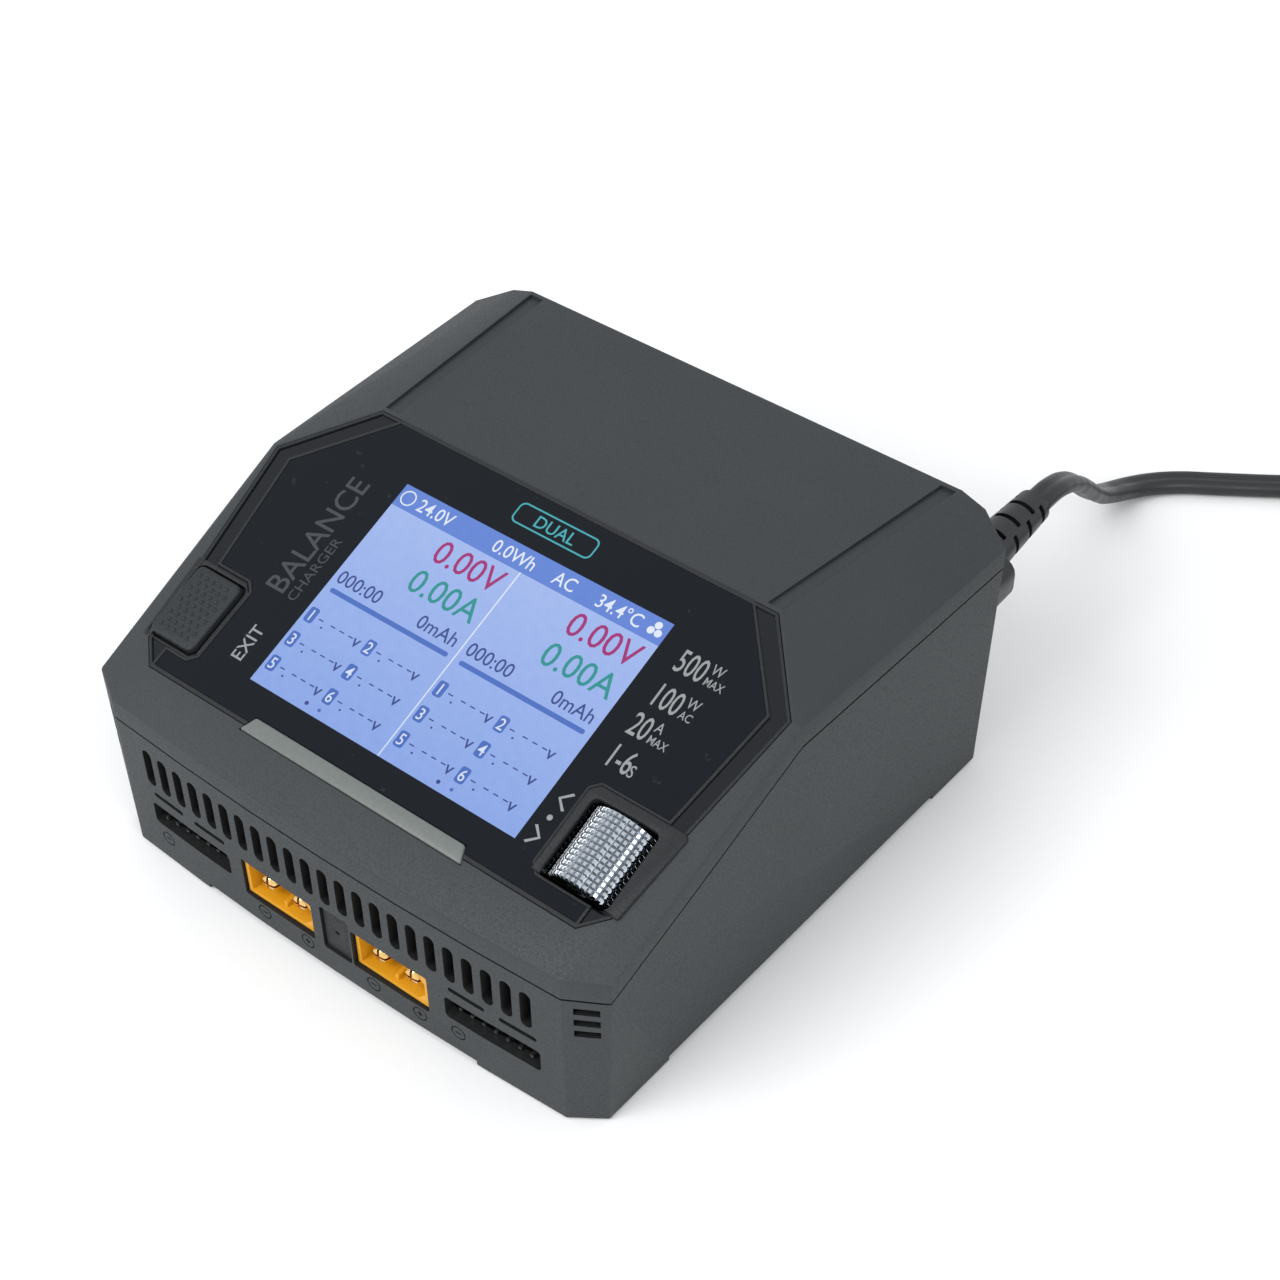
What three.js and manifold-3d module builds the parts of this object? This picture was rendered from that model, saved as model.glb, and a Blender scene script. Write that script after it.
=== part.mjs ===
// A two-channel balance battery charger: a wedge-shaped desktop case with a tilted display,
// a scroll wheel and an exit key beside it, and the charge and balance sockets along the front.
// Millimetres, +Z up. While it is built, Y runs back from the middle of the front face and Z up
// from the feet; the group at the end moves the origin under the middle of the case.

import * as THREE from "three";
import { ConvexGeometry } from "three/addons/geometries/ConvexGeometry.js";
import { mergeVertices } from "three/addons/utils/BufferGeometryUtils.js";
import Module from "manifold-3d";

// ---------------------------------------------------------------- driving dimensions

// Case
const DEPTH = 111.5; // front face to rear wall
const WIDTH = 117.6; // across the rear, the widest place
const PLAN_TAPER = 3.2; // how much narrower each side is at the front shoulders
const WALL = 2.2;
const BAND_TOP = 35.3; // top of the front band, where the chin starts
const FRONT_BOW = 1.6; // how far the middle of the front face stands proud of its ends
const FRONT_CORNER = [6.8, 4.0]; // front corner chamfer, across and back
const REAR_CORNER = [6.5, 3.4]; // rear corner chamfer, across and back
const CHIN_DEPTH = 8.3;
const CHIN_RISE = 3.55;
const CHIN_INSET = 2.4; // the chin's top edge is this much shorter at each end than the front face
const TILT = THREE.MathUtils.degToRad(20.45); // slope of the display panel
const PANEL_LENGTH = 60.9; // chin edge to top edge, along the slope
const KNEE_DISTANCE = 45.6; // chin edge to the widest corner of the panel, along the slope
const SHOULDER_DISTANCE = 4.3; // chin edge to the lower side corner of the panel
const SHOULDER_INSET = 5.1; // of that corner, from the case side
const KNEE_INSET = 1.4; // of the panel's widest corner, from the case side
const TOP_FRONT_INSET = 14.8; // of the top face's front corners, from the case side
const TOP_REAR_INSET = 11.3;
const TOP_FALL = 3.0; // of the top face, from its front edge to the rear
const SIDE_FALL = 8.0; // of the side edge at the rear, below the top's front edge
const DRAFT = 1.2; // how much narrower each side is at the bottom
const BAND_HEIGHT = 4.4; // from the joint between case and cover up to the cover's lower edge
const UNDERSIDE = 1.6; // underside of the floor above the surface
const FOOT_LIFT = 0.4; // moulded feet above the surface
const FOOT_LENGTH = 20.5;
const FOOT_WIDTH = 18.0;
const FIT = 0.3; // gap between pieces that touch
const SLIDE_FIT = 0.4; // gap round pieces that move
const OVERCUT = 3; // how far a cutting tool runs past the surface it opens

// Front vents
const VENT_COUNT = 23;
const VENT_PITCH = 3.8;
const VENT_WIDTH = 2.2;
const VENT_HEIGHT = 8.4;
const VENT_MIDDLE = 23.2;
const CORNER_VENT = [4.2, 1.5]; // width, height
const CORNER_VENT_HEIGHTS = [22.9, 25.6, 28.3];

// Charge sockets, of the 60 A two-pin pattern
const SOCKET_SIZE = [15.8, 8.1];
const SOCKET_CORNER = 2.4;
const SOCKET_LIP = 1.1;
const SOCKET_LENGTH = 17.0;
const SOCKET_CAVITY = 10.5;
const SOCKET_PIN_RADIUS = 1.75;
const SOCKET_PIN_LENGTH = 8.6;
const SOCKET_PIN_SPACING = 7.2;
const SOCKET_BOTTOM = 7.4;
const CHARGE_SOCKET_X = 12.65;
const CHARGE_SOCKET_SHIFT = 0.45; // of the pair to the right
const SOCKET_RECESS = 1.6; // of the socket's rim behind the middle of the front face

// Balance sockets
const PIN_PITCH = 2.5;
const PIN_COUNT = 7;
const PIN_SIDE = 0.64;
const PIN_LENGTH = 6.0;
const PIN_RECESS = 1.6; // of the pin tips behind the front face
const BALANCE_X = 33.9;
const BALANCE_SLOT_HEIGHT = 4.9; // opening in the case
const BALANCE_SLOT_MIDDLE = 11.65;
const BALANCE_PIN_HEIGHT = 9.9;
const BALANCE_BODY = [8.3, 9.0]; // height, depth
const BALANCE_END = 2.7; // from the last pin to the end of the socket
const BALANCE_WALL = 0.9;
const SLIT_HEIGHT = 16.8;
const SLIT_SIZE = [7.4, 1.0];
const SLIT_OFFSETS = [-4.9, 5.4]; // from the middle of the balance socket
const SOCKET_HOLE_CORNER = 0.3;
const SLOT_CORNER = 0.8;
const SLIT_CORNER = 0.4;
const CARRIER_HEIGHT = 1.2; // of the strip that holds the balance pins
const CARRIER_DEPTH = 1.0;
const CARRIER_END = 1.0; // beyond its last pin
const BALANCE_FLOOR = 1.6;

// Blanking plate between the charge sockets
const PLATE_SIZE = [5.7, 9.8];
const PLATE_THICKNESS = 1.4;
const PLATE_MIDDLE = [1.35, 12.2];
const PLATE_HOLE_RADIUS = 0.5;
const PLATE_RECESS = 0.5; // behind the middle of the front face
const PLATE_CORNER = 0.4;

// Display panel, in its own frame: x across, y up the slope from the chin edge, z out of it
const BEZEL_THICKNESS = 1.5;
const BEZEL_WIDTH = 4.3; // strip between glass and case on the two sides
const BEZEL_TOP_WIDTH = 0.7;
const GLASS_THICKNESS = 1.1;
const GLASS_START = 1.2; // chin edge to glass edge
const GLASS_TOP_INSET = 5.2; // of the glass's upper corners from the panel's
const GLASS_SINK = 0.1; // below the bezel's face
const GLASS_END_INSET = 0.7; // of the glass's lower corners from the chin's ends
const LCD_SIZE = [66.0, 49.0, 3.2];
const LCD_MIDDLE = 29.6;
const LEDGE_THICKNESS = 1.5;
const LEDGE_WIDTH = 3.0;
const BOARD_THICKNESS = 1.6;
const LIGHT_BAR = [47.8, 2.7, 2.4]; // length at the chin, width, thickness
const LIGHT_BAR_TAPER = 1.4; // each end slopes in by this much
const LIGHT_BAR_MIDDLE = 0.95;
const LIGHT_BAR_RISE = 0.3; // of its face above the panel

// Exit key
const KEY_SIZE = [10.0, 14.2];
const KEY_CORNER = 1.6;
const KEY_INSET = 5.55; // from the edge of the panel to the middle of the key
const KEY_MIDDLE = 12.95;
const KEY_RISE = 0.9;
const KEY_FLANGE = [0.8, 1.0]; // width, thickness
const KEY_TRAVEL = 0.8;
const SURROUND_WIDTH = 1.5;
const SURROUND_TOP = 0.6; // more of it on the upper side of the key
const SURROUND_BEND = 1.7; // cut across its corners

// Scroll wheel
const WHEEL_RADIUS = 6.5;
const WHEEL_LENGTH = 13.3;
const WHEEL_DEPTH = 3.9; // of its axis below the panel
const WHEEL_INSET = 9.15; // from the edge of the panel to the middle of the wheel
const WHEEL_MIDDLE = 12.15;
const WHEEL_TEETH = 36;
const WHEEL_TOOTH = 0.35;
const AXLE_RADIUS = 1.2;
const WHEEL_TRAVEL = 0.5;
const CARRIAGE_CLEARANCE = 0.6; // under the wheel
const CARRIAGE_THICKNESS = 1.2;
const CHEEK_THICKNESS = 1.5;
const SWITCH_SIZE = [6.0, 6.0, 3.1];
const PLUNGER_RADIUS = 1.5;
const PLUNGER_REACH = 0.6; // into the switch at rest
const PLUNGER_WELL = 1.8;
const STEM_ROOT = 0.5; // overlap that joins a stem to its cap
const WINDOW_INSET = 0.6; // each side of the wheel's window inside the wheel's own sides
const WHEEL_SURROUND = [2.4, 1.0, 3.0]; // to the left, below and above its window
const CARRIAGE_HALF = 4.5; // half width of the carriage's base
const CHEEK_HALF = 2.6;
const CHEEK_CROWN = 0.6; // above the axle
const ENCODER_SIZE = [8.0, 3.6]; // width, depth

// Rear
const FAN_SIZE = 40.0;
const FAN_THICKNESS = 10.0;
const FAN_BORE_RADIUS = 18.6;
const FAN_HUB_RADIUS = 9.0;
const FAN_BLADES = 7;
const FAN_X = -18.0;
const FAN_BOTTOM = 7.6;
const REAR_VENTS = 6;
const REAR_VENT_X = 10.0; // of the first slot
const REAR_VENT_HEIGHT = 22.0;
const GRILLE_BARS = 9;
const GRILLE_BAR = 1.6;
const GRILLE_RIM = 0.5; // left at each end of a gap
const INLET_X = 45.0;
const INLET_HEIGHT = 30.5;
const INLET_FACE = [17.0, 10.6];
const INLET_CAVITY = [14.6, 8.0, 12.5]; // width, height, depth
const INLET_DEPTH = 17.0;
const INLET_FLANGE = 1.6; // thickness, and how far it stands out above and below
const INLET_PIN_RADIUS = 1.2;
const INLET_PIN_LENGTH = 9.0;
const INLET_PIN_SPACING = 8.6;
const FAN_CORNER = 2.5;
const FAN_PLATE = 1.2; // thickness of the hub plate and its struts
const FAN_STRUT_HALF = 1.2;
const FAN_STRUTS = 3;
const FAN_TIP_GAP = 1.2; // between the rotor's sweep and the bore
const FAN_FRONT_GAP = 0.6;
const BLADE_HALF = [5.0, 0.6]; // half chord, half thickness
const BLADE_ROOT = 2.0; // inside the hub
const BLADE_TIP = 0.8; // inside the sweep
const BLADE_PITCH = THREE.MathUtils.degToRad(38);

// Inside
const STANDOFF = 1.5; // main board above the case floor
const POST_RADIUS = 3.2;
const SCREW_RADIUS = 1.4;
const SCREW_HEAD = [2.7, 2.0]; // radius, height
const SCREW_LENGTH = 18.0;
const POST_SEAT = 12.0; // height where case boss and cover post meet
const PAD_RADIUS = 4.5;
const PAD_THICKNESS = 1.0;
const POST_INSET = { front: [5.4, 10.0], rear: [6.4, 24.0] }; // from the case side, from front or rear
const PAD_INSET = { front: [5.8, 12.0], rear: [11.0, 10.5] };
const WELL_WALL = 1.2;
const STANDOFF_RADIUS = 2.5;
const STANDOFF_X = 36.0;
const STANDOFF_INSET = [26.0, 16.0]; // from the front, from the rear
const INTAKE_COUNT = 8;
const INTAKE_PITCH = 7.0;
const INTAKE_SLOT = [2.4, 30.0];
const CHANNEL_WIDTH = 3.0;
const CHANNEL_SINK = 0.6;
const CHANNEL_START = 0.8; // behind the top edge of the panel
const CHANNEL_END = 1.2; // short of the rear
const CHANNEL_FLARE = 0.5; // its rear end inside the roof's corner

const BOARD_INSET = 13.6; // of the main board, from each side of the case
const BOARD_REAR_GAP = 8.0; // behind the main board
const CONTROL_BOARD = [4.0, 52.0]; // from and to, up the panel
const CONTROL_BOARD_GAP = 3.6; // to the wall
const HEATSINK_FINS = 9;
const HEATSINK_BASE = 3.0; // thickness
const HEATSINK_HEIGHT = 16.0;
const FIN_THICKNESS = 1.4;
const HEATSINK_PLACE = [2.0, -4.0, 34.0, 20.0]; // from the board's left edge, right side, front, from the rear
const SUPPLY_LEFT = 3.0;
const SUPPLY_FRONT_GAP = 12.0; // before the front capacitor's middle
const SUPPLY_REAR_GAP = 5.0; // to the mains inlet
const LEG_RADIUS = 1.5;
const LEG_INSET = 3.0;
const CORE_SIZE = [20.0, 18.0, 16.0];
const CORE_PLACE = [8.0, 8.0]; // x, and y behind the front capacitor's middle
const WINDING_INSET = 3.0; // of the winding, inside the core's sides and past its ends
const CAPACITOR_SPACING = 18.0;
const INDUCTOR = [6.0, 2.6, 7.0]; // outer radius, hole radius, height
const INDUCTOR_PLACE = [14.0, 27.0];
const CAPACITOR = [6.5, 13.0]; // radius, height
const CAPACITOR_PLACE = [38.0, 58.0];
const CAPACITOR_CLEARANCE = 0.85; // under the control board

// Mains lead: a flat twin cord, wider than it is thick
const CORD_WIDTH = 5.4;
const CORD_THICKNESS = 3.4;
const COIL_MIDDLE_RADIUS = 30.6;
const COIL_TURNS_ACROSS = 2;
const COIL_LAYERS = 3;
const TURN_PITCH = 5.6; // sideways
const LAYER_PITCH = 3.7; // upwards
const COIL_BOTTOM = 1.6;
const TIE_WIDTH = 4.0;
const TIE_THICKNESS = 1.1;
const CONNECTOR_BODY = [16.4, 9.0, 12.0]; // width, height, length behind the case
const RELIEF_RADII = [4.3, 3.4]; // at the connector, at the cord
const PLUG_BODY = [35.3, 13.7, 33.0]; // width, height, length
const PLUG_TAIL = [15.0, 9.0]; // the same body's width and height where the cord enters
const PLUG_PIN = [2.0, 19.0, 18.6]; // radius, length, spacing

// ---------------------------------------------------------------- tools

const wasm = await Module();
wasm.setup();

const cover = new THREE.MeshStandardMaterial({ color: 0x4a4d4f, roughness: 0.6 });
const darkGloss = new THREE.MeshStandardMaterial({ color: 0x10151c, roughness: 0.15 });
const glassBlack = new THREE.MeshStandardMaterial({ color: 0x05070c, roughness: 0.05 });
const frosted = new THREE.MeshStandardMaterial({ color: 0x8d918e, roughness: 0.4 });
const rubber = new THREE.MeshStandardMaterial({ color: 0x232425, roughness: 0.85 });
const chrome = new THREE.MeshStandardMaterial({ color: 0xc8ccd0, roughness: 0.2, metalness: 1 });
const steel = new THREE.MeshStandardMaterial({ color: 0x9a9da0, roughness: 0.35, metalness: 1 });
const amber = new THREE.MeshStandardMaterial({ color: 0xe09a10, roughness: 0.4 });
const gold = new THREE.MeshStandardMaterial({ color: 0xd4a84a, roughness: 0.25, metalness: 1 });
const blackPlastic = new THREE.MeshStandardMaterial({ color: 0x1c1d1f, roughness: 0.55 });
const boardGreen = new THREE.MeshStandardMaterial({ color: 0x1e4d33, roughness: 0.5 });
const aluminium = new THREE.MeshStandardMaterial({ color: 0xb4b8bb, roughness: 0.4, metalness: 1 });
const copper = new THREE.MeshStandardMaterial({ color: 0xb5673a, roughness: 0.35, metalness: 1 });
const sleeve = new THREE.MeshStandardMaterial({ color: 0x2b3f66, roughness: 0.4 });

/** Turns a closed geometry into a solid that can be joined and cut. */
function solid(geometry) {
  const bare = new THREE.BufferGeometry();
  bare.setAttribute("position", geometry.getAttribute("position"));
  if (geometry.index) bare.setIndex(geometry.index);
  const merged = mergeVertices(bare, 1e-4);
  return new wasm.Manifold(
    new wasm.Mesh({
      numProp: 3,
      vertProperties: merged.attributes.position.array,
      triVerts: new Uint32Array(merged.index.array),
    }),
  );
}

/** Turns a solid back into geometry. */
function geometryOf(body) {
  const made = body.getMesh();
  const geometry = new THREE.BufferGeometry();
  geometry.setAttribute("position", new THREE.BufferAttribute(made.vertProperties, 3));
  geometry.setIndex(new THREE.BufferAttribute(made.triVerts, 1));
  geometry.computeVertexNormals();
  return geometry;
}

const join = (...bodies) => bodies.reduce((a, b) => a.add(b));
const cut = (body, ...tools) => tools.reduce((a, b) => a.subtract(b), body);

/** Names a piece and adds it to a group. */
function piece(group, name, body, material) {
  const mesh = new THREE.Mesh(geometryOf(body), material);
  mesh.name = name;
  group.add(mesh);
  return mesh;
}

const shapeOf = (points) => new THREE.Shape(points.map(([x, y]) => new THREE.Vector2(x, y)));

/** A rectangle with its corners rounded, each by its own radius or all by one. */
function roundedRect(width, height, radius, x = 0, y = 0) {
  const [w, h, r] = [width / 2, height / 2, Math.min(radius, width / 2 - 0.01, height / 2 - 0.01)];
  const shape = new THREE.Shape();
  shape.moveTo(x + w, y - h + r);
  shape.absarc(x + w - r, y + h - r, r, 0, Math.PI / 2);
  shape.absarc(x - w + r, y + h - r, r, Math.PI / 2, Math.PI);
  shape.absarc(x - w + r, y - h + r, r, Math.PI, 1.5 * Math.PI);
  shape.absarc(x + w - r, y - h + r, r, 1.5 * Math.PI, 2 * Math.PI);
  return shape;
}

/** A rectangle with all four corners cut off at 45 degrees. */
function cutRect(width, height, corner, x = 0, y = 0) {
  const [w, h, c] = [width / 2, height / 2, corner];
  return shapeOf([
    [x - w + c, y - h],
    [x + w - c, y - h],
    [x + w, y - h + c],
    [x + w, y + h - c],
    [x + w - c, y + h],
    [x - w + c, y + h],
    [x - w, y + h - c],
    [x - w, y - h + c],
  ]);
}

const SEGMENTS = 2; // per quarter round
const BOW_STEPS = 6; // flats along the bowed front
const extrude = (shape, depth) =>
  new THREE.ExtrudeGeometry(shape, { depth, bevelEnabled: false, curveSegments: SEGMENTS });

/** Extrudes an outline drawn in X and Y from one height to another. */
const upright = (shape, z0, z1) => extrude(shape, z1 - z0).translate(0, 0, z0);

/** Extrudes an outline drawn in X and Z from one depth to another. */
const backward = (shape, y0, y1) =>
  extrude(shape, y1 - y0)
    .rotateX(Math.PI / 2)
    .translate(0, y1, 0);

/** Extrudes an outline drawn in Y and Z across the case. */
function across(shape, x0, x1) {
  const axes = new THREE.Matrix4().makeBasis(
    new THREE.Vector3(0, 1, 0),
    new THREE.Vector3(0, 0, 1),
    new THREE.Vector3(1, 0, 0),
  );
  return extrude(shape, x1 - x0)
    .applyMatrix4(axes)
    .translate(x0, 0, 0);
}

const box = (x0, x1, y0, y1, z0, z1) =>
  new THREE.BoxGeometry(x1 - x0, y1 - y0, z1 - z0).translate((x0 + x1) / 2, (y0 + y1) / 2, (z0 + z1) / 2);

const rod = (radius, length, sides = 16) => new THREE.CylinderGeometry(radius, radius, length, sides);

/** A rod standing up from z0 to z1. */
const post = (radius, x, y, z0, z1, sides = 16) =>
  rod(radius, z1 - z0, sides)
    .rotateX(Math.PI / 2)
    .translate(x, y, (z0 + z1) / 2);

/** A rod lying along Y from y0 to y1. */
const bolt = (radius, x, z, y0, y1, sides = 16) => rod(radius, y1 - y0, sides).translate(x, (y0 + y1) / 2, z);

// The display panel's frame
const panelFrame = new THREE.Matrix4()
  .makeRotationX(TILT)
  .setPosition(0, CHIN_DEPTH, BAND_TOP + CHIN_RISE);
const onPanel = (geometry) => geometry.applyMatrix4(panelFrame);

const both = [-1, 1];
const sideName = (side) => (side < 0 ? "left" : "right");

// ---------------------------------------------------------------- case outline

const rearHalf = WIDTH / 2;
const shoulderHalfWidth = rearHalf - PLAN_TAPER;
const faceHalf = shoulderHalfWidth - FRONT_CORNER[0];
const chinHalf = faceHalf - CHIN_INSET;
const frontShoulderY = FRONT_BOW + FRONT_CORNER[1];

/** Half width of the case at a distance from the front, at its widest height. */
function halfWidthAt(y) {
  const share = (y - frontShoulderY) / (DEPTH - REAR_CORNER[1] - frontShoulderY);
  return THREE.MathUtils.lerp(shoulderHalfWidth, rearHalf, share);
}

/** How far the front face lies behind its middle at x. */
const frontFaceY = (x) => FRONT_BOW * Math.min(1, (x / faceHalf) ** 2);

/** Height of the display panel's plane at a distance from the front. */
const onSlope = (y) => BAND_TOP + CHIN_RISE + (y - CHIN_DEPTH) * Math.tan(TILT);

const kneeY = CHIN_DEPTH + KNEE_DISTANCE * Math.cos(TILT);
const topY = CHIN_DEPTH + PANEL_LENGTH * Math.cos(TILT);
const topRearHeight = onSlope(topY) - TOP_FALL;
const sideRearHeight = onSlope(topY) - SIDE_FALL;
const kneeDrop = KNEE_INSET / 2; // of the side edge below the panel's plane at its widest corner
const kneeHalf = halfWidthAt(kneeY) - KNEE_INSET;
const shoulderHalf = shoulderHalfWidth - SHOULDER_INSET;
const topFrontHalf = halfWidthAt(topY) - TOP_FRONT_INSET;
const topRearHalf = rearHalf - TOP_REAR_INSET;

/** Half width of the display panel at a distance up its slope from the chin. */
const panelHalfAt = (up) =>
  THREE.MathUtils.mapLinear(up, SHOULDER_DISTANCE, KNEE_DISTANCE, shoulderHalf, kneeHalf);

const wheelX = panelHalfAt(WHEEL_MIDDLE) - WHEEL_INSET;
const keyX = panelHalfAt(KEY_MIDDLE) - KEY_INSET;

/** The display panel's outline in its own frame, drawn in from the case edges by an inset. */
function panelOutline(inset) {
  return [
    [-chinHalf + inset, inset],
    [chinHalf - inset, inset],
    [shoulderHalf - inset, SHOULDER_DISTANCE + inset * 0.4],
    [kneeHalf - inset, KNEE_DISTANCE - inset * 0.3],
    [topFrontHalf - inset * 0.4, PANEL_LENGTH - inset],
    [-topFrontHalf + inset * 0.4, PANEL_LENGTH - inset],
    [-kneeHalf + inset, KNEE_DISTANCE - inset * 0.3],
    [-shoulderHalf + inset, SHOULDER_DISTANCE + inset * 0.4],
  ];
}

/** The closed outer form of the case, or the hollow inside it when inset by the wall. */
function caseForm(inset, bottom) {
  const front = [];
  for (let i = 0; i <= BOW_STEPS; i++) {
    const x = THREE.MathUtils.lerp(-faceHalf, faceHalf, i / BOW_STEPS);
    front.push([x * (1 - inset / 3 / faceHalf), frontFaceY(x) + inset]);
  }
  const slope = inset / Math.cos(TILT);
  const points = [];
  const add = (x, y, z) => points.push(new THREE.Vector3(x, y, z));
  const pair = (x, y, z) => both.forEach((side) => add(side * x, y, z));
  const rear = DEPTH - inset;
  const rearSideY = DEPTH - REAR_CORNER[1];
  for (const [x, y] of front) {
    add(x, y, bottom);
    add(x, y, BAND_TOP - slope / 2);
  }
  const rearCornerHalf = rearHalf - REAR_CORNER[0];
  pair(shoulderHalfWidth - DRAFT - inset, frontShoulderY + inset / 2, bottom);
  pair(rearHalf - DRAFT - inset, rearSideY - inset / 2, bottom);
  pair(rearCornerHalf - inset / 2, rear, bottom);
  pair(shoulderHalfWidth - inset, frontShoulderY + inset / 2, BAND_TOP - slope / 2);
  for (const [x, y] of panelOutline(0)) {
    const corner = new THREE.Vector3(x, y, 0).applyMatrix4(panelFrame);
    add(corner.x - Math.sign(x) * inset, corner.y, corner.z - slope);
  }
  pair(halfWidthAt(kneeY) - inset, kneeY + kneeDrop, onSlope(kneeY) - kneeDrop - slope);
  pair(topRearHalf - inset / 2, rear, topRearHeight - inset);
  pair(rearCornerHalf - inset / 2, rear, (topRearHeight + sideRearHeight) / 2 + REAR_CORNER[0] / 8 - inset);
  pair(rearHalf - inset, rearSideY - inset / 2, sideRearHeight - inset);
  return solid(new ConvexGeometry(points));
}

/** Everything above the joint line between case and cover, shifted up or down. */
function aboveParting(shift) {
  const far = 3 * DEPTH;
  const outline = shapeOf([
    [-far, BAND_TOP - BAND_HEIGHT + shift],
    [frontShoulderY, BAND_TOP - BAND_HEIGHT + shift],
    [kneeY + kneeDrop, onSlope(kneeY) - kneeDrop - BAND_HEIGHT + shift],
    [DEPTH, sideRearHeight - BAND_HEIGHT + shift],
    [far, sideRearHeight - BAND_HEIGHT + shift],
    [far, far],
    [-far, far],
  ]);
  return solid(across(outline, -far, far));
}

// Pieces on the board share its height
const floorTop = UNDERSIDE + WALL;
const boardTop = SOCKET_BOTTOM - FIT;
const boardBottom = boardTop - BOARD_THICKNESS;
const innerRear = DEPTH - WALL;
const balanceWidth = (PIN_COUNT - 1) * PIN_PITCH + 2 * BALANCE_END;
const chargeX = (side) => side * CHARGE_SOCKET_X + CHARGE_SOCKET_SHIFT;
const slotX = (side) => side * BALANCE_X + PIN_SIDE;
const chargeSocketMiddle = SOCKET_BOTTOM + SOCKET_SIZE[1] / 2;
const fanMiddle = FAN_BOTTOM + FAN_SIZE / 2;

const postPlaces = [
  ["front_left", -(shoulderHalfWidth - POST_INSET.front[0]), POST_INSET.front[1]],
  ["front_right", shoulderHalfWidth - POST_INSET.front[0], POST_INSET.front[1]],
  ["rear_left", -(rearHalf - POST_INSET.rear[0]), DEPTH - POST_INSET.rear[1]],
  ["rear_right", rearHalf - POST_INSET.rear[0], DEPTH - POST_INSET.rear[1]],
];
const padPlaces = [
  ["front_left", -(faceHalf - PAD_INSET.front[0]), PAD_INSET.front[1]],
  ["front_right", faceHalf - PAD_INSET.front[0], PAD_INSET.front[1]],
  ["rear_left", -(rearHalf - PAD_INSET.rear[0]), DEPTH - PAD_INSET.rear[1]],
  ["rear_right", rearHalf - PAD_INSET.rear[0], DEPTH - PAD_INSET.rear[1]],
];

// ---------------------------------------------------------------- lower case

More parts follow.
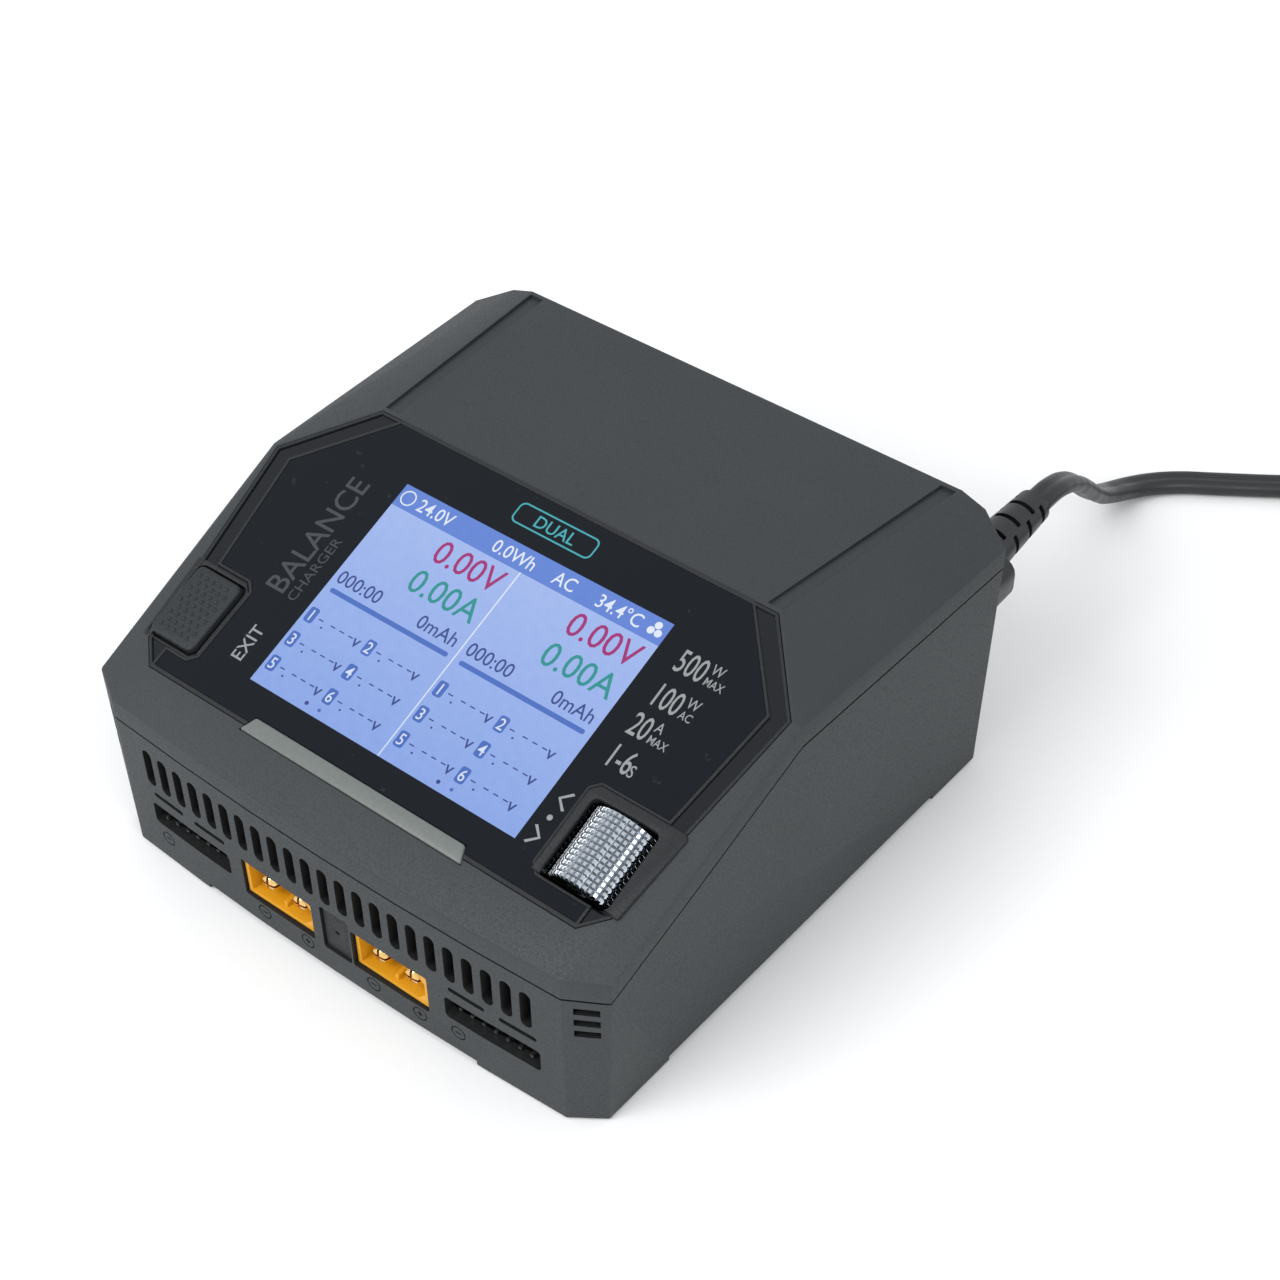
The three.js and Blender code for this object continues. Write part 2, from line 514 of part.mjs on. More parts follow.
function makeLowerCase() {
  const shell = cut(caseForm(0, FOOT_LIFT), caseForm(WALL, floorTop), aboveParting(-FIT / 2));

  // The moulded feet are what is left of the bottom at the four corners
  const far = 2 * DEPTH;
  const arches = join(
    solid(box(-far, far, FOOT_LENGTH, DEPTH - FOOT_LENGTH + 4, -1, UNDERSIDE)),
    solid(box(-faceHalf + FOOT_WIDTH, faceHalf - FOOT_WIDTH, -far, far, -1, UNDERSIDE)),
  );

  const front = -OVERCUT;
  const inside = WALL + FRONT_BOW + OVERCUT;
  const openings = [];
  for (let i = 0; i < VENT_COUNT; i++) {
    const x = (i - (VENT_COUNT - 1) / 2) * VENT_PITCH;
    const shape = roundedRect(VENT_WIDTH, VENT_HEIGHT, VENT_WIDTH / 2, x, VENT_MIDDLE);
    openings.push(solid(backward(shape, front, inside)));
  }
  for (const side of both) {
    const socketHole = cutRect(
      SOCKET_SIZE[0] + FIT * 2,
      SOCKET_SIZE[1] + FIT * 2,
      SOCKET_HOLE_CORNER,
      chargeX(side),
      chargeSocketMiddle,
    );
    openings.push(solid(backward(socketHole, front, inside)));
    const slot = roundedRect(
      balanceWidth - BALANCE_WALL - PIN_SIDE / 3,
      BALANCE_SLOT_HEIGHT,
      SLOT_CORNER,
      slotX(side),
      BALANCE_SLOT_MIDDLE,
    );
    openings.push(solid(backward(slot, front, inside)));
    for (const offset of SLIT_OFFSETS) {
      const slit = roundedRect(SLIT_SIZE[0], SLIT_SIZE[1], SLIT_CORNER, slotX(side) + offset, SLIT_HEIGHT);
      openings.push(solid(backward(slit, front, inside)));
    }
    for (const z of CORNER_VENT_HEIGHTS) {
      const turn = Math.atan2(FRONT_CORNER[1], FRONT_CORNER[0]) * side;
      const [half, high] = [CORNER_VENT[0] / 2, CORNER_VENT[1] / 2];
      const vent = box(-half, half, -2 * WALL, 2 * WALL, -high, high)
        .rotateZ(turn)
        .translate(side * (faceHalf + FRONT_CORNER[0] / 2), FRONT_BOW + FRONT_CORNER[1] / 2, z);
      openings.push(solid(vent));
    }
  }
  const plateHole = roundedRect(PLATE_SIZE[0] + 2 * FIT, PLATE_SIZE[1] + 2 * FIT, 0.6, ...PLATE_MIDDLE);
  openings.push(solid(backward(plateHole, front, inside)));

  // Rear wall: mains inlet, vents and fan grille
  const behind = [innerRear - 1, DEPTH + 1];
  const inletHole = roundedRect(INLET_FACE[0] + 2 * FIT, INLET_FACE[1] + 2 * FIT, 2, INLET_X, INLET_HEIGHT);
  openings.push(solid(backward(inletHole, ...behind)));
  for (let i = 0; i < REAR_VENTS; i++) {
    const slot = roundedRect(VENT_WIDTH, REAR_VENT_HEIGHT, VENT_WIDTH / 2, REAR_VENT_X + i * VENT_PITCH, fanMiddle);
    openings.push(solid(backward(slot, ...behind)));
  }
  const barPitch = (2 * FAN_BORE_RADIUS) / GRILLE_BARS;
  for (let i = 0; i < GRILLE_BARS; i++) {
    const offset = (i - (GRILLE_BARS - 1) / 2) * barPitch;
    const half = Math.sqrt(FAN_BORE_RADIUS ** 2 - offset ** 2) - GRILLE_RIM;
    const slot = roundedRect(2 * half, barPitch - GRILLE_BAR, 1, FAN_X, fanMiddle + offset);
    openings.push(solid(backward(slot, ...behind)));
  }

  // Floor: intake slots, screw wells, pad seats
  for (let i = 0; i < INTAKE_COUNT; i++) {
    const x = (i - (INTAKE_COUNT - 1) / 2) * INTAKE_PITCH;
    const slot = roundedRect(...INTAKE_SLOT, INTAKE_SLOT[0] / 2, x, DEPTH / 2);
    openings.push(solid(upright(slot, -1, floorTop + 1)));
  }
  const bosses = [];
  for (const [, x, y] of postPlaces) {
    bosses.push(solid(post(POST_RADIUS, x, y, UNDERSIDE + 0.5, POST_SEAT - FIT / 2)));
    openings.push(solid(post(SCREW_RADIUS + FIT, x, y, -1, POST_SEAT + 1)));
    openings.push(solid(post(SCREW_HEAD[0] + FIT, x, y, -1, UNDERSIDE + SCREW_HEAD[1] + FIT)));
    bosses.push(solid(post(SCREW_HEAD[0] + FIT + WELL_WALL, x, y, UNDERSIDE + 0.5, UNDERSIDE + SCREW_HEAD[1] + 2)));
  }
  for (const [, x, y] of padPlaces)
    openings.push(solid(post(PAD_RADIUS + FIT, x, y, -1, PAD_THICKNESS + FIT)));

  // Standoffs under the main board
  for (const side of both)
    for (const y of [STANDOFF_INSET[0], DEPTH - STANDOFF_INSET[1]])
      bosses.push(solid(post(STANDOFF_RADIUS, side * STANDOFF_X, y, floorTop - 0.5, boardBottom - FIT)));

  const inner = caseForm(WALL / 2, floorTop - 1);
  const body = join(shell, ...bosses.map((boss) => boss.intersect(join(inner, shell))));
  return cut(body, arches, ...openings);
}

// ---------------------------------------------------------------- upper cover

// Heights of the control board and of the wheel's carriage, below the panel
const bezelFloor = -BEZEL_THICKNESS - FIT;
const carriageTop = -WHEEL_DEPTH - WHEEL_RADIUS - CARRIAGE_CLEARANCE;
const carriageBottom = carriageTop - CARRIAGE_THICKNESS;
const switchTop = carriageBottom - WHEEL_TRAVEL - FIT;
const boardFace = switchTop - SWITCH_SIZE[2] - FIT;
const ledgeFloor = bezelFloor - LEDGE_THICKNESS;

/** The room that the scroll wheel or the exit key needs through the ledge. */
const wheelRoom = () => [
  wheelX - WHEEL_RADIUS - 2.2,
  wheelX + WHEEL_RADIUS + 2.2,
  WHEEL_MIDDLE - WHEEL_LENGTH / 2 - 2.6,
  WHEEL_MIDDLE + WHEEL_LENGTH / 2 + 2.8,
];
const keyRoom = () => [
  -keyX - KEY_SIZE[0] / 2 - KEY_FLANGE[0] - SLIDE_FIT,
  -keyX + KEY_SIZE[0] / 2 + KEY_FLANGE[0] + SLIDE_FIT,
  KEY_MIDDLE - KEY_SIZE[1] / 2 - KEY_FLANGE[0] - SLIDE_FIT,
  KEY_MIDDLE + KEY_SIZE[1] / 2 + KEY_FLANGE[0] + SLIDE_FIT,
];

function makeUpperCover() {
  const form = caseForm(0, FOOT_LIFT);
  const hollow = caseForm(WALL, floorTop);
  const shell = cut(form, hollow);
  const ledge = solid(onPanel(upright(shapeOf(panelOutline(-WALL)), ledgeFloor, bezelFloor))).intersect(form);
  const window = solid(onPanel(upright(shapeOf(panelOutline(LEDGE_WIDTH)), ledgeFloor - OVERCUT, OVERCUT)));

  // The panel seat, the light bar's seat and the two shallow channels along the top
  const seat = solid(onPanel(upright(shapeOf(panelOutline(0.6 - FIT)), bezelFloor, 8)));
  const bar = solid(onPanel(lightBarForm(FIT)));
  const channels = both.map((side) => solid(channelForm(side)));

  // Posts for the case screws hang from the cover's roof
  const posts = postPlaces.map(([, x, y]) =>
    solid(post(POST_RADIUS, x, y, POST_SEAT + FIT / 2, topRearHeight)).intersect(form),
  );
  const pilots = postPlaces.map(([, x, y]) =>
    solid(post(SCREW_RADIUS + FIT, x, y, 0, UNDERSIDE + SCREW_LENGTH + 4)),
  );
  const shellTop = join(shell, ledge).intersect(aboveParting(FIT / 2));
  const inside = caseForm(WALL + FIT, floorTop);
  const hung = posts.map((body) => body.intersect(join(inside, aboveParting(FIT / 2))));
  const rooms = [wheelRoom(), keyRoom()].map((room) => solid(onPanel(box(...room, ledgeFloor - 1, 1))));
  return cut(join(shellTop, ...hung), window, seat, bar, ...channels, ...rooms, ...pilots);
}

/** The light bar lies along the chin edge of the panel, with its two ends sloping in. */
function lightBarForm(grow) {
  const [length, width, thickness] = LIGHT_BAR;
  const low = LIGHT_BAR_MIDDLE - width / 2 - grow;
  const high = LIGHT_BAR_MIDDLE + width / 2 + grow;
  const shape = shapeOf([
    [-length / 2 - grow, low],
    [length / 2 + grow, low],
    [length / 2 - LIGHT_BAR_TAPER + grow, high],
    [-length / 2 + LIGHT_BAR_TAPER - grow, high],
  ]);
  const top = grow > 0 ? LIGHT_BAR_RISE + OVERCUT : LIGHT_BAR_RISE;
  return upright(shape, LIGHT_BAR_RISE - thickness - grow, top);
}

/** A shallow channel from the panel's top corner to the rear, following the roof. */
function channelForm(side) {
  const startY = topY + CHANNEL_START;
  const startZ = onSlope(topY);
  const end = DEPTH - CHANNEL_END;
  const points = [];
  for (const [y, half, z] of [
    [startY, topFrontHalf, startZ],
    [end, topRearHalf - CHANNEL_FLARE, topRearHeight],
  ])
    for (const x of [half - CHANNEL_WIDTH, half])
      for (const height of [z - CHANNEL_SINK, z + OVERCUT]) points.push(new THREE.Vector3(side * x, y, height));
  return new ConvexGeometry(points);
}

// ---------------------------------------------------------------- display panel pieces

const wheelWindow = [
  wheelX - WHEEL_RADIUS + WINDOW_INSET - SLIDE_FIT,
  wheelX + WHEEL_RADIUS - WINDOW_INSET + SLIDE_FIT,
  WHEEL_MIDDLE - WHEEL_LENGTH / 2 - SLIDE_FIT,
  WHEEL_MIDDLE + WHEEL_LENGTH / 2 + SLIDE_FIT,
];

/** The glass outline: it steps round the wheel's surround and the key's surround. */
function glassOutline(shrink) {
  const end = chinHalf - GLASS_END_INSET - shrink;
  const start = GLASS_START + shrink;
  const wheelLeft = wheelWindow[0] - WHEEL_SURROUND[0] - shrink;
  const wheelLow = wheelWindow[2] - WHEEL_SURROUND[1] - shrink;
  const wheelHigh = wheelWindow[3] + WHEEL_SURROUND[2] + shrink;
  const keyRight = -keyX + KEY_SIZE[0] / 2 + SURROUND_WIDTH + shrink;
  const keyLow = KEY_MIDDLE - KEY_SIZE[1] / 2 - SURROUND_WIDTH - shrink;
  const keyHigh = KEY_MIDDLE + KEY_SIZE[1] / 2 + SURROUND_WIDTH + SURROUND_TOP + shrink;
  const bezelX = (y) => panelHalfAt(y) - BEZEL_WIDTH - shrink;
  const kneeAt = KNEE_DISTANCE - BEZEL_WIDTH / 4;
  const top = PANEL_LENGTH - BEZEL_TOP_WIDTH - shrink;
  const topHalf = topFrontHalf - GLASS_TOP_INSET - shrink;
  const bend = SURROUND_BEND;
  return [
    [-end, start],
    [end, start],
    [end, wheelLow],
    [wheelLeft + bend, wheelLow],
    [wheelLeft, wheelLow + bend],
    [wheelLeft, wheelHigh - bend],
    [wheelLeft + bend, wheelHigh],
    [bezelX(wheelHigh), wheelHigh],
    [bezelX(kneeAt), kneeAt],
    [topHalf, top],
    [-topHalf, top],
    [-bezelX(kneeAt), kneeAt],
    [-bezelX(keyHigh), keyHigh],
    [keyRight - bend, keyHigh],
    [keyRight, keyHigh - bend],
    [keyRight, keyLow + bend],
    [keyRight - bend, keyLow],
    [-end, keyLow],
  ];
}

function makeBezel() {
  const plate = solid(upright(shapeOf(panelOutline(0.6)), -BEZEL_THICKNESS, 0));
  const glassHole = solid(upright(shapeOf(glassOutline(0)), -BEZEL_THICKNESS - 1, 1));
  const keyHole = solid(
    upright(
      cutRect(
        KEY_SIZE[0] + 2 * SLIDE_FIT,
        KEY_SIZE[1] + 2 * SLIDE_FIT,
        KEY_CORNER,
        -keyX,
        KEY_MIDDLE,
      ),
      -BEZEL_THICKNESS - 1,
      1,
    ),
  );
  const wheelHole = solid(box(...wheelWindow, -BEZEL_THICKNESS - 1, 1));
  return cut(plate, glassHole, keyHole, wheelHole, solid(lightBarForm(FIT)));
}

function makeGlass() {
  const plate = solid(upright(shapeOf(glassOutline(FIT)), -GLASS_THICKNESS - GLASS_SINK, -GLASS_SINK));
  return cut(plate, solid(lightBarForm(FIT)));
}

function addPanelPieces(panel) {
  piece(panel, "bezel_frame", makeBezel(), darkGloss);
  piece(panel, "display_glass", makeGlass(), glassBlack);
  piece(panel, "light_bar", solid(lightBarForm(0)), frosted);

  const [lcdWidth, lcdHeight, lcdThickness] = LCD_SIZE;
  const lcd = roundedRect(lcdWidth, lcdHeight, 0.5, 0, LCD_MIDDLE);
  piece(panel, "lcd_module", solid(upright(lcd, bezelFloor - lcdThickness, bezelFloor)), steel);

  const boardHalf = shoulderHalfWidth - WALL - CONTROL_BOARD_GAP;
  const board = box(-boardHalf, boardHalf, ...CONTROL_BOARD, boardFace - BOARD_THICKNESS, boardFace);
  piece(panel, "control_board", solid(board), boardGreen);

  // Exit key: a cap with a flange under the bezel, and a stem down to its switch
  const cap = solid(
    upright(
      cutRect(KEY_SIZE[0], KEY_SIZE[1], KEY_CORNER, -keyX, KEY_MIDDLE),
      bezelFloor - KEY_FLANGE[1],
      KEY_RISE,
    ),
  );
  const flange = solid(
    upright(
      cutRect(
        KEY_SIZE[0] + 2 * KEY_FLANGE[0],
        KEY_SIZE[1] + 2 * KEY_FLANGE[0],
        KEY_CORNER,
        -keyX,
        KEY_MIDDLE,
      ),
      bezelFloor - KEY_FLANGE[1],
      bezelFloor,
    ),
  );
  const stem = solid(
    post(PLUNGER_RADIUS, -keyX, KEY_MIDDLE, switchTop - PLUNGER_REACH, bezelFloor - KEY_FLANGE[1] + STEM_ROOT),
  );
  piece(panel, "exit_button", join(cap, flange, stem), rubber);
  piece(panel, "exit_switch", makeSwitch(-keyX, KEY_MIDDLE, boardFace + FIT), blackPlastic);
  piece(panel, "select_switch", makeSwitch(wheelX, WHEEL_MIDDLE, boardFace + FIT), blackPlastic);
  addWheel(panel);
}

/** A push switch with a well that the plunger above it slides into. */
function makeSwitch(x, y, bottom) {
  const [width, length, height] = SWITCH_SIZE;
  const body = box(x - width / 2, x + width / 2, y - length / 2, y + length / 2, bottom, bottom + height);
  const well = post(PLUNGER_RADIUS + SLIDE_FIT, x, y, bottom + height - PLUNGER_WELL, bottom + height + 1);
  return cut(solid(body), solid(well));
}

function addWheel(panel) {
  const low = WHEEL_MIDDLE - WHEEL_LENGTH / 2;
  const high = WHEEL_MIDDLE + WHEEL_LENGTH / 2;
  const outline = [];
  for (let i = 0; i < 2 * WHEEL_TEETH; i++) {
    const angle = (Math.PI * i) / WHEEL_TEETH;
    const radius = WHEEL_RADIUS - (i % 2) * WHEEL_TOOTH;
    outline.push([wheelX + radius * Math.cos(angle), -WHEEL_DEPTH + radius * Math.sin(angle)]);
  }
  const barrel = solid(backward(shapeOf(outline), low, high));
  const bore = solid(bolt(AXLE_RADIUS + FIT, wheelX, -WHEEL_DEPTH, low - 1, high + 1));
  piece(panel, "scroll_wheel", cut(barrel, bore), chrome);

  const cheekLow = low - FIT - CHEEK_THICKNESS;
  const cheekHigh = high + FIT;
  const axle = bolt(AXLE_RADIUS, wheelX, -WHEEL_DEPTH, cheekLow, cheekHigh + CHEEK_THICKNESS);
  piece(panel, "wheel_axle", solid(axle), steel);

  const cheekTop = -WHEEL_DEPTH + AXLE_RADIUS + CHEEK_CROWN;
  const carriageParts = [
    box(wheelX - CARRIAGE_HALF, wheelX + CARRIAGE_HALF, cheekLow, cheekHigh + CHEEK_THICKNESS, carriageBottom, carriageTop),
    post(PLUNGER_RADIUS, wheelX, WHEEL_MIDDLE, switchTop - PLUNGER_REACH, carriageBottom + STEM_ROOT),
  ];
  for (const start of [cheekLow, cheekHigh])
    carriageParts.push(
      box(wheelX - CHEEK_HALF, wheelX + CHEEK_HALF, start, start + CHEEK_THICKNESS, carriageBottom, cheekTop),
    );
  const axleHole = solid(bolt(AXLE_RADIUS + FIT, wheelX, -WHEEL_DEPTH, cheekLow - 1, high + 5));
  piece(panel, "wheel_carriage", cut(join(...carriageParts.map(solid)), axleHole), blackPlastic);

  const encoderStart = cheekHigh + CHEEK_THICKNESS + FIT;
  const encoder = box(
    wheelX - ENCODER_SIZE[0] / 2,
    wheelX + ENCODER_SIZE[0] / 2,
    encoderStart,
    encoderStart + ENCODER_SIZE[1],
    boardFace + FIT,
    -WHEEL_RADIUS,
  );
  piece(panel, "encoder_body", solid(encoder), blackPlastic);
}

// ---------------------------------------------------------------- sockets

/** The outline of the 60 A connector: a rectangle with two corners cut at its right end. */
function socketOutline(inset, x, z) {
  const [w, h] = [SOCKET_SIZE[0] / 2 - inset, SOCKET_SIZE[1] / 2 - inset];
  const c = SOCKET_CORNER - inset * 0.6;
  return shapeOf([
    [x - w, z - h],
    [x + w - c, z - h],
    [x + w, z - h + c],
    [x + w, z + h - c],
    [x + w - c, z + h],
    [x - w, z + h],
  ]);
}

function addChargeSocket(group, side) {
  const x = chargeX(side);
  const name = `charge_socket_${sideName(side)}`;
  const back = SOCKET_RECESS + SOCKET_LENGTH;
  const floor = SOCKET_RECESS + SOCKET_CAVITY;
  const body = solid(backward(socketOutline(0, x, chargeSocketMiddle), SOCKET_RECESS, back));
  const cavity = solid(
    backward(socketOutline(SOCKET_LIP, x, chargeSocketMiddle), SOCKET_RECESS - OVERCUT, floor),
  );
  const pinX = (pin) => x + (pin * SOCKET_PIN_SPACING) / 2;
  const bore = SOCKET_PIN_RADIUS + FIT;
  const holes = both.map((pin) =>
    solid(bolt(bore, pinX(pin), chargeSocketMiddle, floor - OVERCUT, back + OVERCUT)),
  );
  piece(group, name, cut(body, cavity, ...holes), amber);
  for (const pin of both) {
    const shape = bolt(SOCKET_PIN_RADIUS, pinX(pin), chargeSocketMiddle, floor - SOCKET_PIN_LENGTH, back, 12);
    piece(group, `${name}_pin_${sideName(pin)}`, solid(shape), gold);
  }
}

function addBalanceSocket(group, side) {
  const [height, depth] = BALANCE_BODY;
  const half = balanceWidth / 2;
  const x = side * BALANCE_X;
  const face = frontFaceY(BALANCE_X + half) + WALL + FIT;
  const top = SOCKET_BOTTOM + height;
  const back = face + depth;
  const floor = back - BALANCE_FLOOR;
  const body = solid(box(x - half, x + half, face, back, SOCKET_BOTTOM, top));
  const room = half - BALANCE_WALL;
  const cavity = solid(
    box(x - room, x + room, face - 1, floor, SOCKET_BOTTOM + BALANCE_WALL, top - BALANCE_WALL),
  );
  piece(group, `balance_socket_${sideName(side)}`, cut(body, cavity), blackPlastic);

  // Seven pins on one carrier strip at the bottom of the socket
  const strip = [floor - FIT - CARRIER_DEPTH, floor - FIT];
  const span = half - BALANCE_END + CARRIER_END;
  const [low, high] = [BALANCE_PIN_HEIGHT - CARRIER_HEIGHT / 2, BALANCE_PIN_HEIGHT + CARRIER_HEIGHT / 2];
  const parts = [box(x - span, x + span, ...strip, low, high)];
  for (let i = 0; i < PIN_COUNT; i++) {
    const at = x + (i - (PIN_COUNT - 1) / 2) * PIN_PITCH;
    const thick = PIN_SIDE / 2;
    const tip = frontFaceY(BALANCE_X) + PIN_RECESS;
    parts.push(
      box(at - thick, at + thick, tip, strip[0] + 0.5, BALANCE_PIN_HEIGHT - thick, BALANCE_PIN_HEIGHT + thick),
    );
  }
  piece(group, `balance_pins_${sideName(side)}`, join(...parts.map(solid)), steel);
}

// ---------------------------------------------------------------- rear pieces

function addMainsInlet(group) {
  const [width, height] = INLET_FACE;
  const [cavityWidth, cavityHeight, cavityDepth] = INLET_CAVITY;
  const start = DEPTH - INLET_DEPTH;
  const body = solid(backward(roundedRect(width, height, 1.8, INLET_X, INLET_HEIGHT), start, DEPTH - 0.4));
  const flange = solid(
    backward(
      roundedRect(width / 2, height + 2 * INLET_FLANGE, 1, INLET_X, INLET_HEIGHT),
      innerRear - FIT - INLET_FLANGE,
      innerRear - FIT,
    ),
  );
  const floor = DEPTH - cavityDepth;
  const cavity = solid(
    backward(
      roundedRect(cavityWidth, cavityHeight, cavityHeight / 2, INLET_X, INLET_HEIGHT),
      floor,
      DEPTH + 1,
    ),
  );
  const pinX = (side) => INLET_X + (side * INLET_PIN_SPACING) / 2;
  const holes = both.map((side) =>
    solid(bolt(INLET_PIN_RADIUS + FIT, pinX(side), INLET_HEIGHT, start - 1, floor + 1, 10)),
  );
  piece(group, "mains_inlet", cut(join(body, flange), cavity, ...holes), blackPlastic);
  for (const side of both) {
    const pin = bolt(INLET_PIN_RADIUS, pinX(side), INLET_HEIGHT, start - 2, floor + INLET_PIN_LENGTH, 10);
    piece(group, `mains_inlet_pin_${sideName(side)}`, solid(pin), steel);
  }
}

function addFan(group) {
  const back = innerRear - FIT;
  const front = back - FAN_THICKNESS;
  const frame = solid(backward(roundedRect(FAN_SIZE, FAN_SIZE, FAN_CORNER, FAN_X, fanMiddle), front, back));
  const bore = solid(bolt(FAN_BORE_RADIUS, FAN_X, fanMiddle, front - 1, back + 1, 32));
  const plate = solid(bolt(FAN_HUB_RADIUS, FAN_X, fanMiddle, back - FAN_PLATE, back, 20));
  const struts = [];
  for (let i = 0; i < FAN_STRUTS; i++) {
    const strut = box(-FAN_STRUT_HALF, FAN_STRUT_HALF, back - FAN_PLATE, back, 0, FAN_BORE_RADIUS + 0.6);
    strut.rotateY(((i + 0.5) * 2 * Math.PI) / FAN_STRUTS).translate(FAN_X, 0, fanMiddle);
    struts.push(solid(strut));
  }
  piece(group, "fan_frame", join(cut(frame, bore), plate, ...struts), blackPlastic);

  // Rotor: hub and pitched blades, clear of the frame's bore and hub plate
  const rotorBack = back - FAN_PLATE - SLIDE_FIT;
  const rotorFront = front + FAN_FRONT_GAP;
  const middle = (rotorBack + rotorFront) / 2;
  const hub = solid(bolt(FAN_HUB_RADIUS, FAN_X, fanMiddle, rotorFront, rotorBack, 20));
  const reach = FAN_BORE_RADIUS - FAN_TIP_GAP;
  const [chord, thick] = BLADE_HALF;
  const blades = [];
  for (let i = 0; i < FAN_BLADES; i++)
    blades.push(
      solid(
        box(-chord, chord, -thick, thick, FAN_HUB_RADIUS - BLADE_ROOT, reach - BLADE_TIP)
          .rotateZ(BLADE_PITCH)
          .rotateY((i * 2 * Math.PI) / FAN_BLADES)
          .translate(FAN_X, middle, fanMiddle),
      ),
    );
  const sweep = solid(bolt(reach, FAN_X, fanMiddle, rotorFront, rotorBack, 32));
  piece(group, "fan_rotor", join(hub, ...blades).intersect(sweep), blackPlastic);
}

// ---------------------------------------------------------------- inside pieces

function addInside(group) {
  const boardHalf = shoulderHalfWidth - BOARD_INSET;
  const frontEdge = WALL + FRONT_BOW + 2;
  const mainBoard = box(-boardHalf, boardHalf, frontEdge, DEPTH - WALL - BOARD_REAR_GAP, boardBottom, boardTop);
  piece(group, "main_board", solid(mainBoard), boardGreen);

  const deck = boardTop + FIT;
  const [sinkInset, sinkRight, sinkFront, sinkRearGap] = HEATSINK_PLACE;
  const sinkLeft = -boardHalf + sinkInset;
  const sinkDepth = [sinkFront, DEPTH - sinkRearGap];
  const sinkParts = [box(sinkLeft, sinkRight, ...sinkDepth, deck, deck + HEATSINK_BASE)];
  for (let i = 0; i < HEATSINK_FINS; i++) {
    const x = THREE.MathUtils.lerp(sinkLeft, sinkRight - FIN_THICKNESS, i / (HEATSINK_FINS - 1));
    sinkParts.push(box(x, x + FIN_THICKNESS, ...sinkDepth, deck, deck + HEATSINK_HEIGHT));
  }
  piece(group, "heatsink", join(...sinkParts.map(solid)), aluminium);

  // The power supply stands on legs, just low enough for its capacitors to clear the control board
  const [capX, capY] = CAPACITOR_PLACE;
  const nearest = capY - CAPACITOR[0];
  const underControl = onSlope(nearest) + (boardFace - BOARD_THICKNESS) / Math.cos(TILT);
  const onSupply = underControl - CAPACITOR_CLEARANCE - CAPACITOR[1];
  const supplyDeck = onSupply - FIT;
  const [supplyLeft, supplyRight, supplyFront] = [SUPPLY_LEFT, boardHalf + 4, capY - SUPPLY_FRONT_GAP];
  const supplyRear = DEPTH - INLET_DEPTH - SUPPLY_REAR_GAP;
  const supply = box(supplyLeft, supplyRight, supplyFront, supplyRear, supplyDeck - BOARD_THICKNESS, supplyDeck);
  const legs = [];
  for (const x of [supplyLeft + LEG_INSET, supplyRight - 2 * LEG_INSET])
    for (const y of [supplyFront + LEG_INSET, supplyRear - LEG_INSET])
      legs.push(post(LEG_RADIUS, x, y, deck, supplyDeck - 0.5, 8));
  piece(group, "power_supply_board", join(solid(supply), ...legs.map(solid)), boardGreen);

  const [coreWidth, coreDepth, coreHeight] = CORE_SIZE;
  const [coreX, coreY] = [CORE_PLACE[0], capY + CORE_PLACE[1]];
  const core = box(coreX, coreX + coreWidth, coreY, coreY + coreDepth, onSupply, onSupply + coreHeight);
  const winding = box(
    coreX + WINDING_INSET,
    coreX + coreWidth - WINDING_INSET,
    coreY - WINDING_INSET,
    coreY + coreDepth + WINDING_INSET,
    onSupply + WINDING_INSET,
    onSupply + coreHeight - WINDING_INSET,
  );
  piece(group, "transformer", join(solid(core), solid(winding)), copper);
  for (const [name, y] of [
    ["capacitor_front", capY],
    ["capacitor_rear", capY + CAPACITOR_SPACING],
  ])
    piece(group, name, solid(post(CAPACITOR[0], capX, y, onSupply, onSupply + CAPACITOR[1], 20)), sleeve);

  const [ringRadius, holeRadius, ringHeight] = INDUCTOR;
  for (const side of both) {
    const [x, y] = [side * INDUCTOR_PLACE[0], INDUCTOR_PLACE[1]];
    const ring = solid(post(ringRadius, x, y, deck, deck + ringHeight, 20));
    const hole = solid(post(holeRadius, x, y, deck - 1, deck + ringHeight + 1, 12));
    piece(group, `inductor_${sideName(side)}`, cut(ring, hole), copper);
  }
}

function addFasteners(group) {
  for (const [name, x, y] of postPlaces) {
    const headTop = UNDERSIDE + SCREW_HEAD[1];
    const head = post(SCREW_HEAD[0], x, y, UNDERSIDE, headTop, 16);
    const shank = post(SCREW_RADIUS, x, y, UNDERSIDE, UNDERSIDE + SCREW_LENGTH, 10);
    piece(group, `case_screw_${name}`, join(solid(head), solid(shank)), steel);
  }
  for (const [name, x, y] of padPlaces)
    piece(group, `foot_pad_${name}`, solid(post(PAD_RADIUS, x, y, 0, PAD_THICKNESS, 20)), rubber);
}

// ---------------------------------------------------------------- mains lead

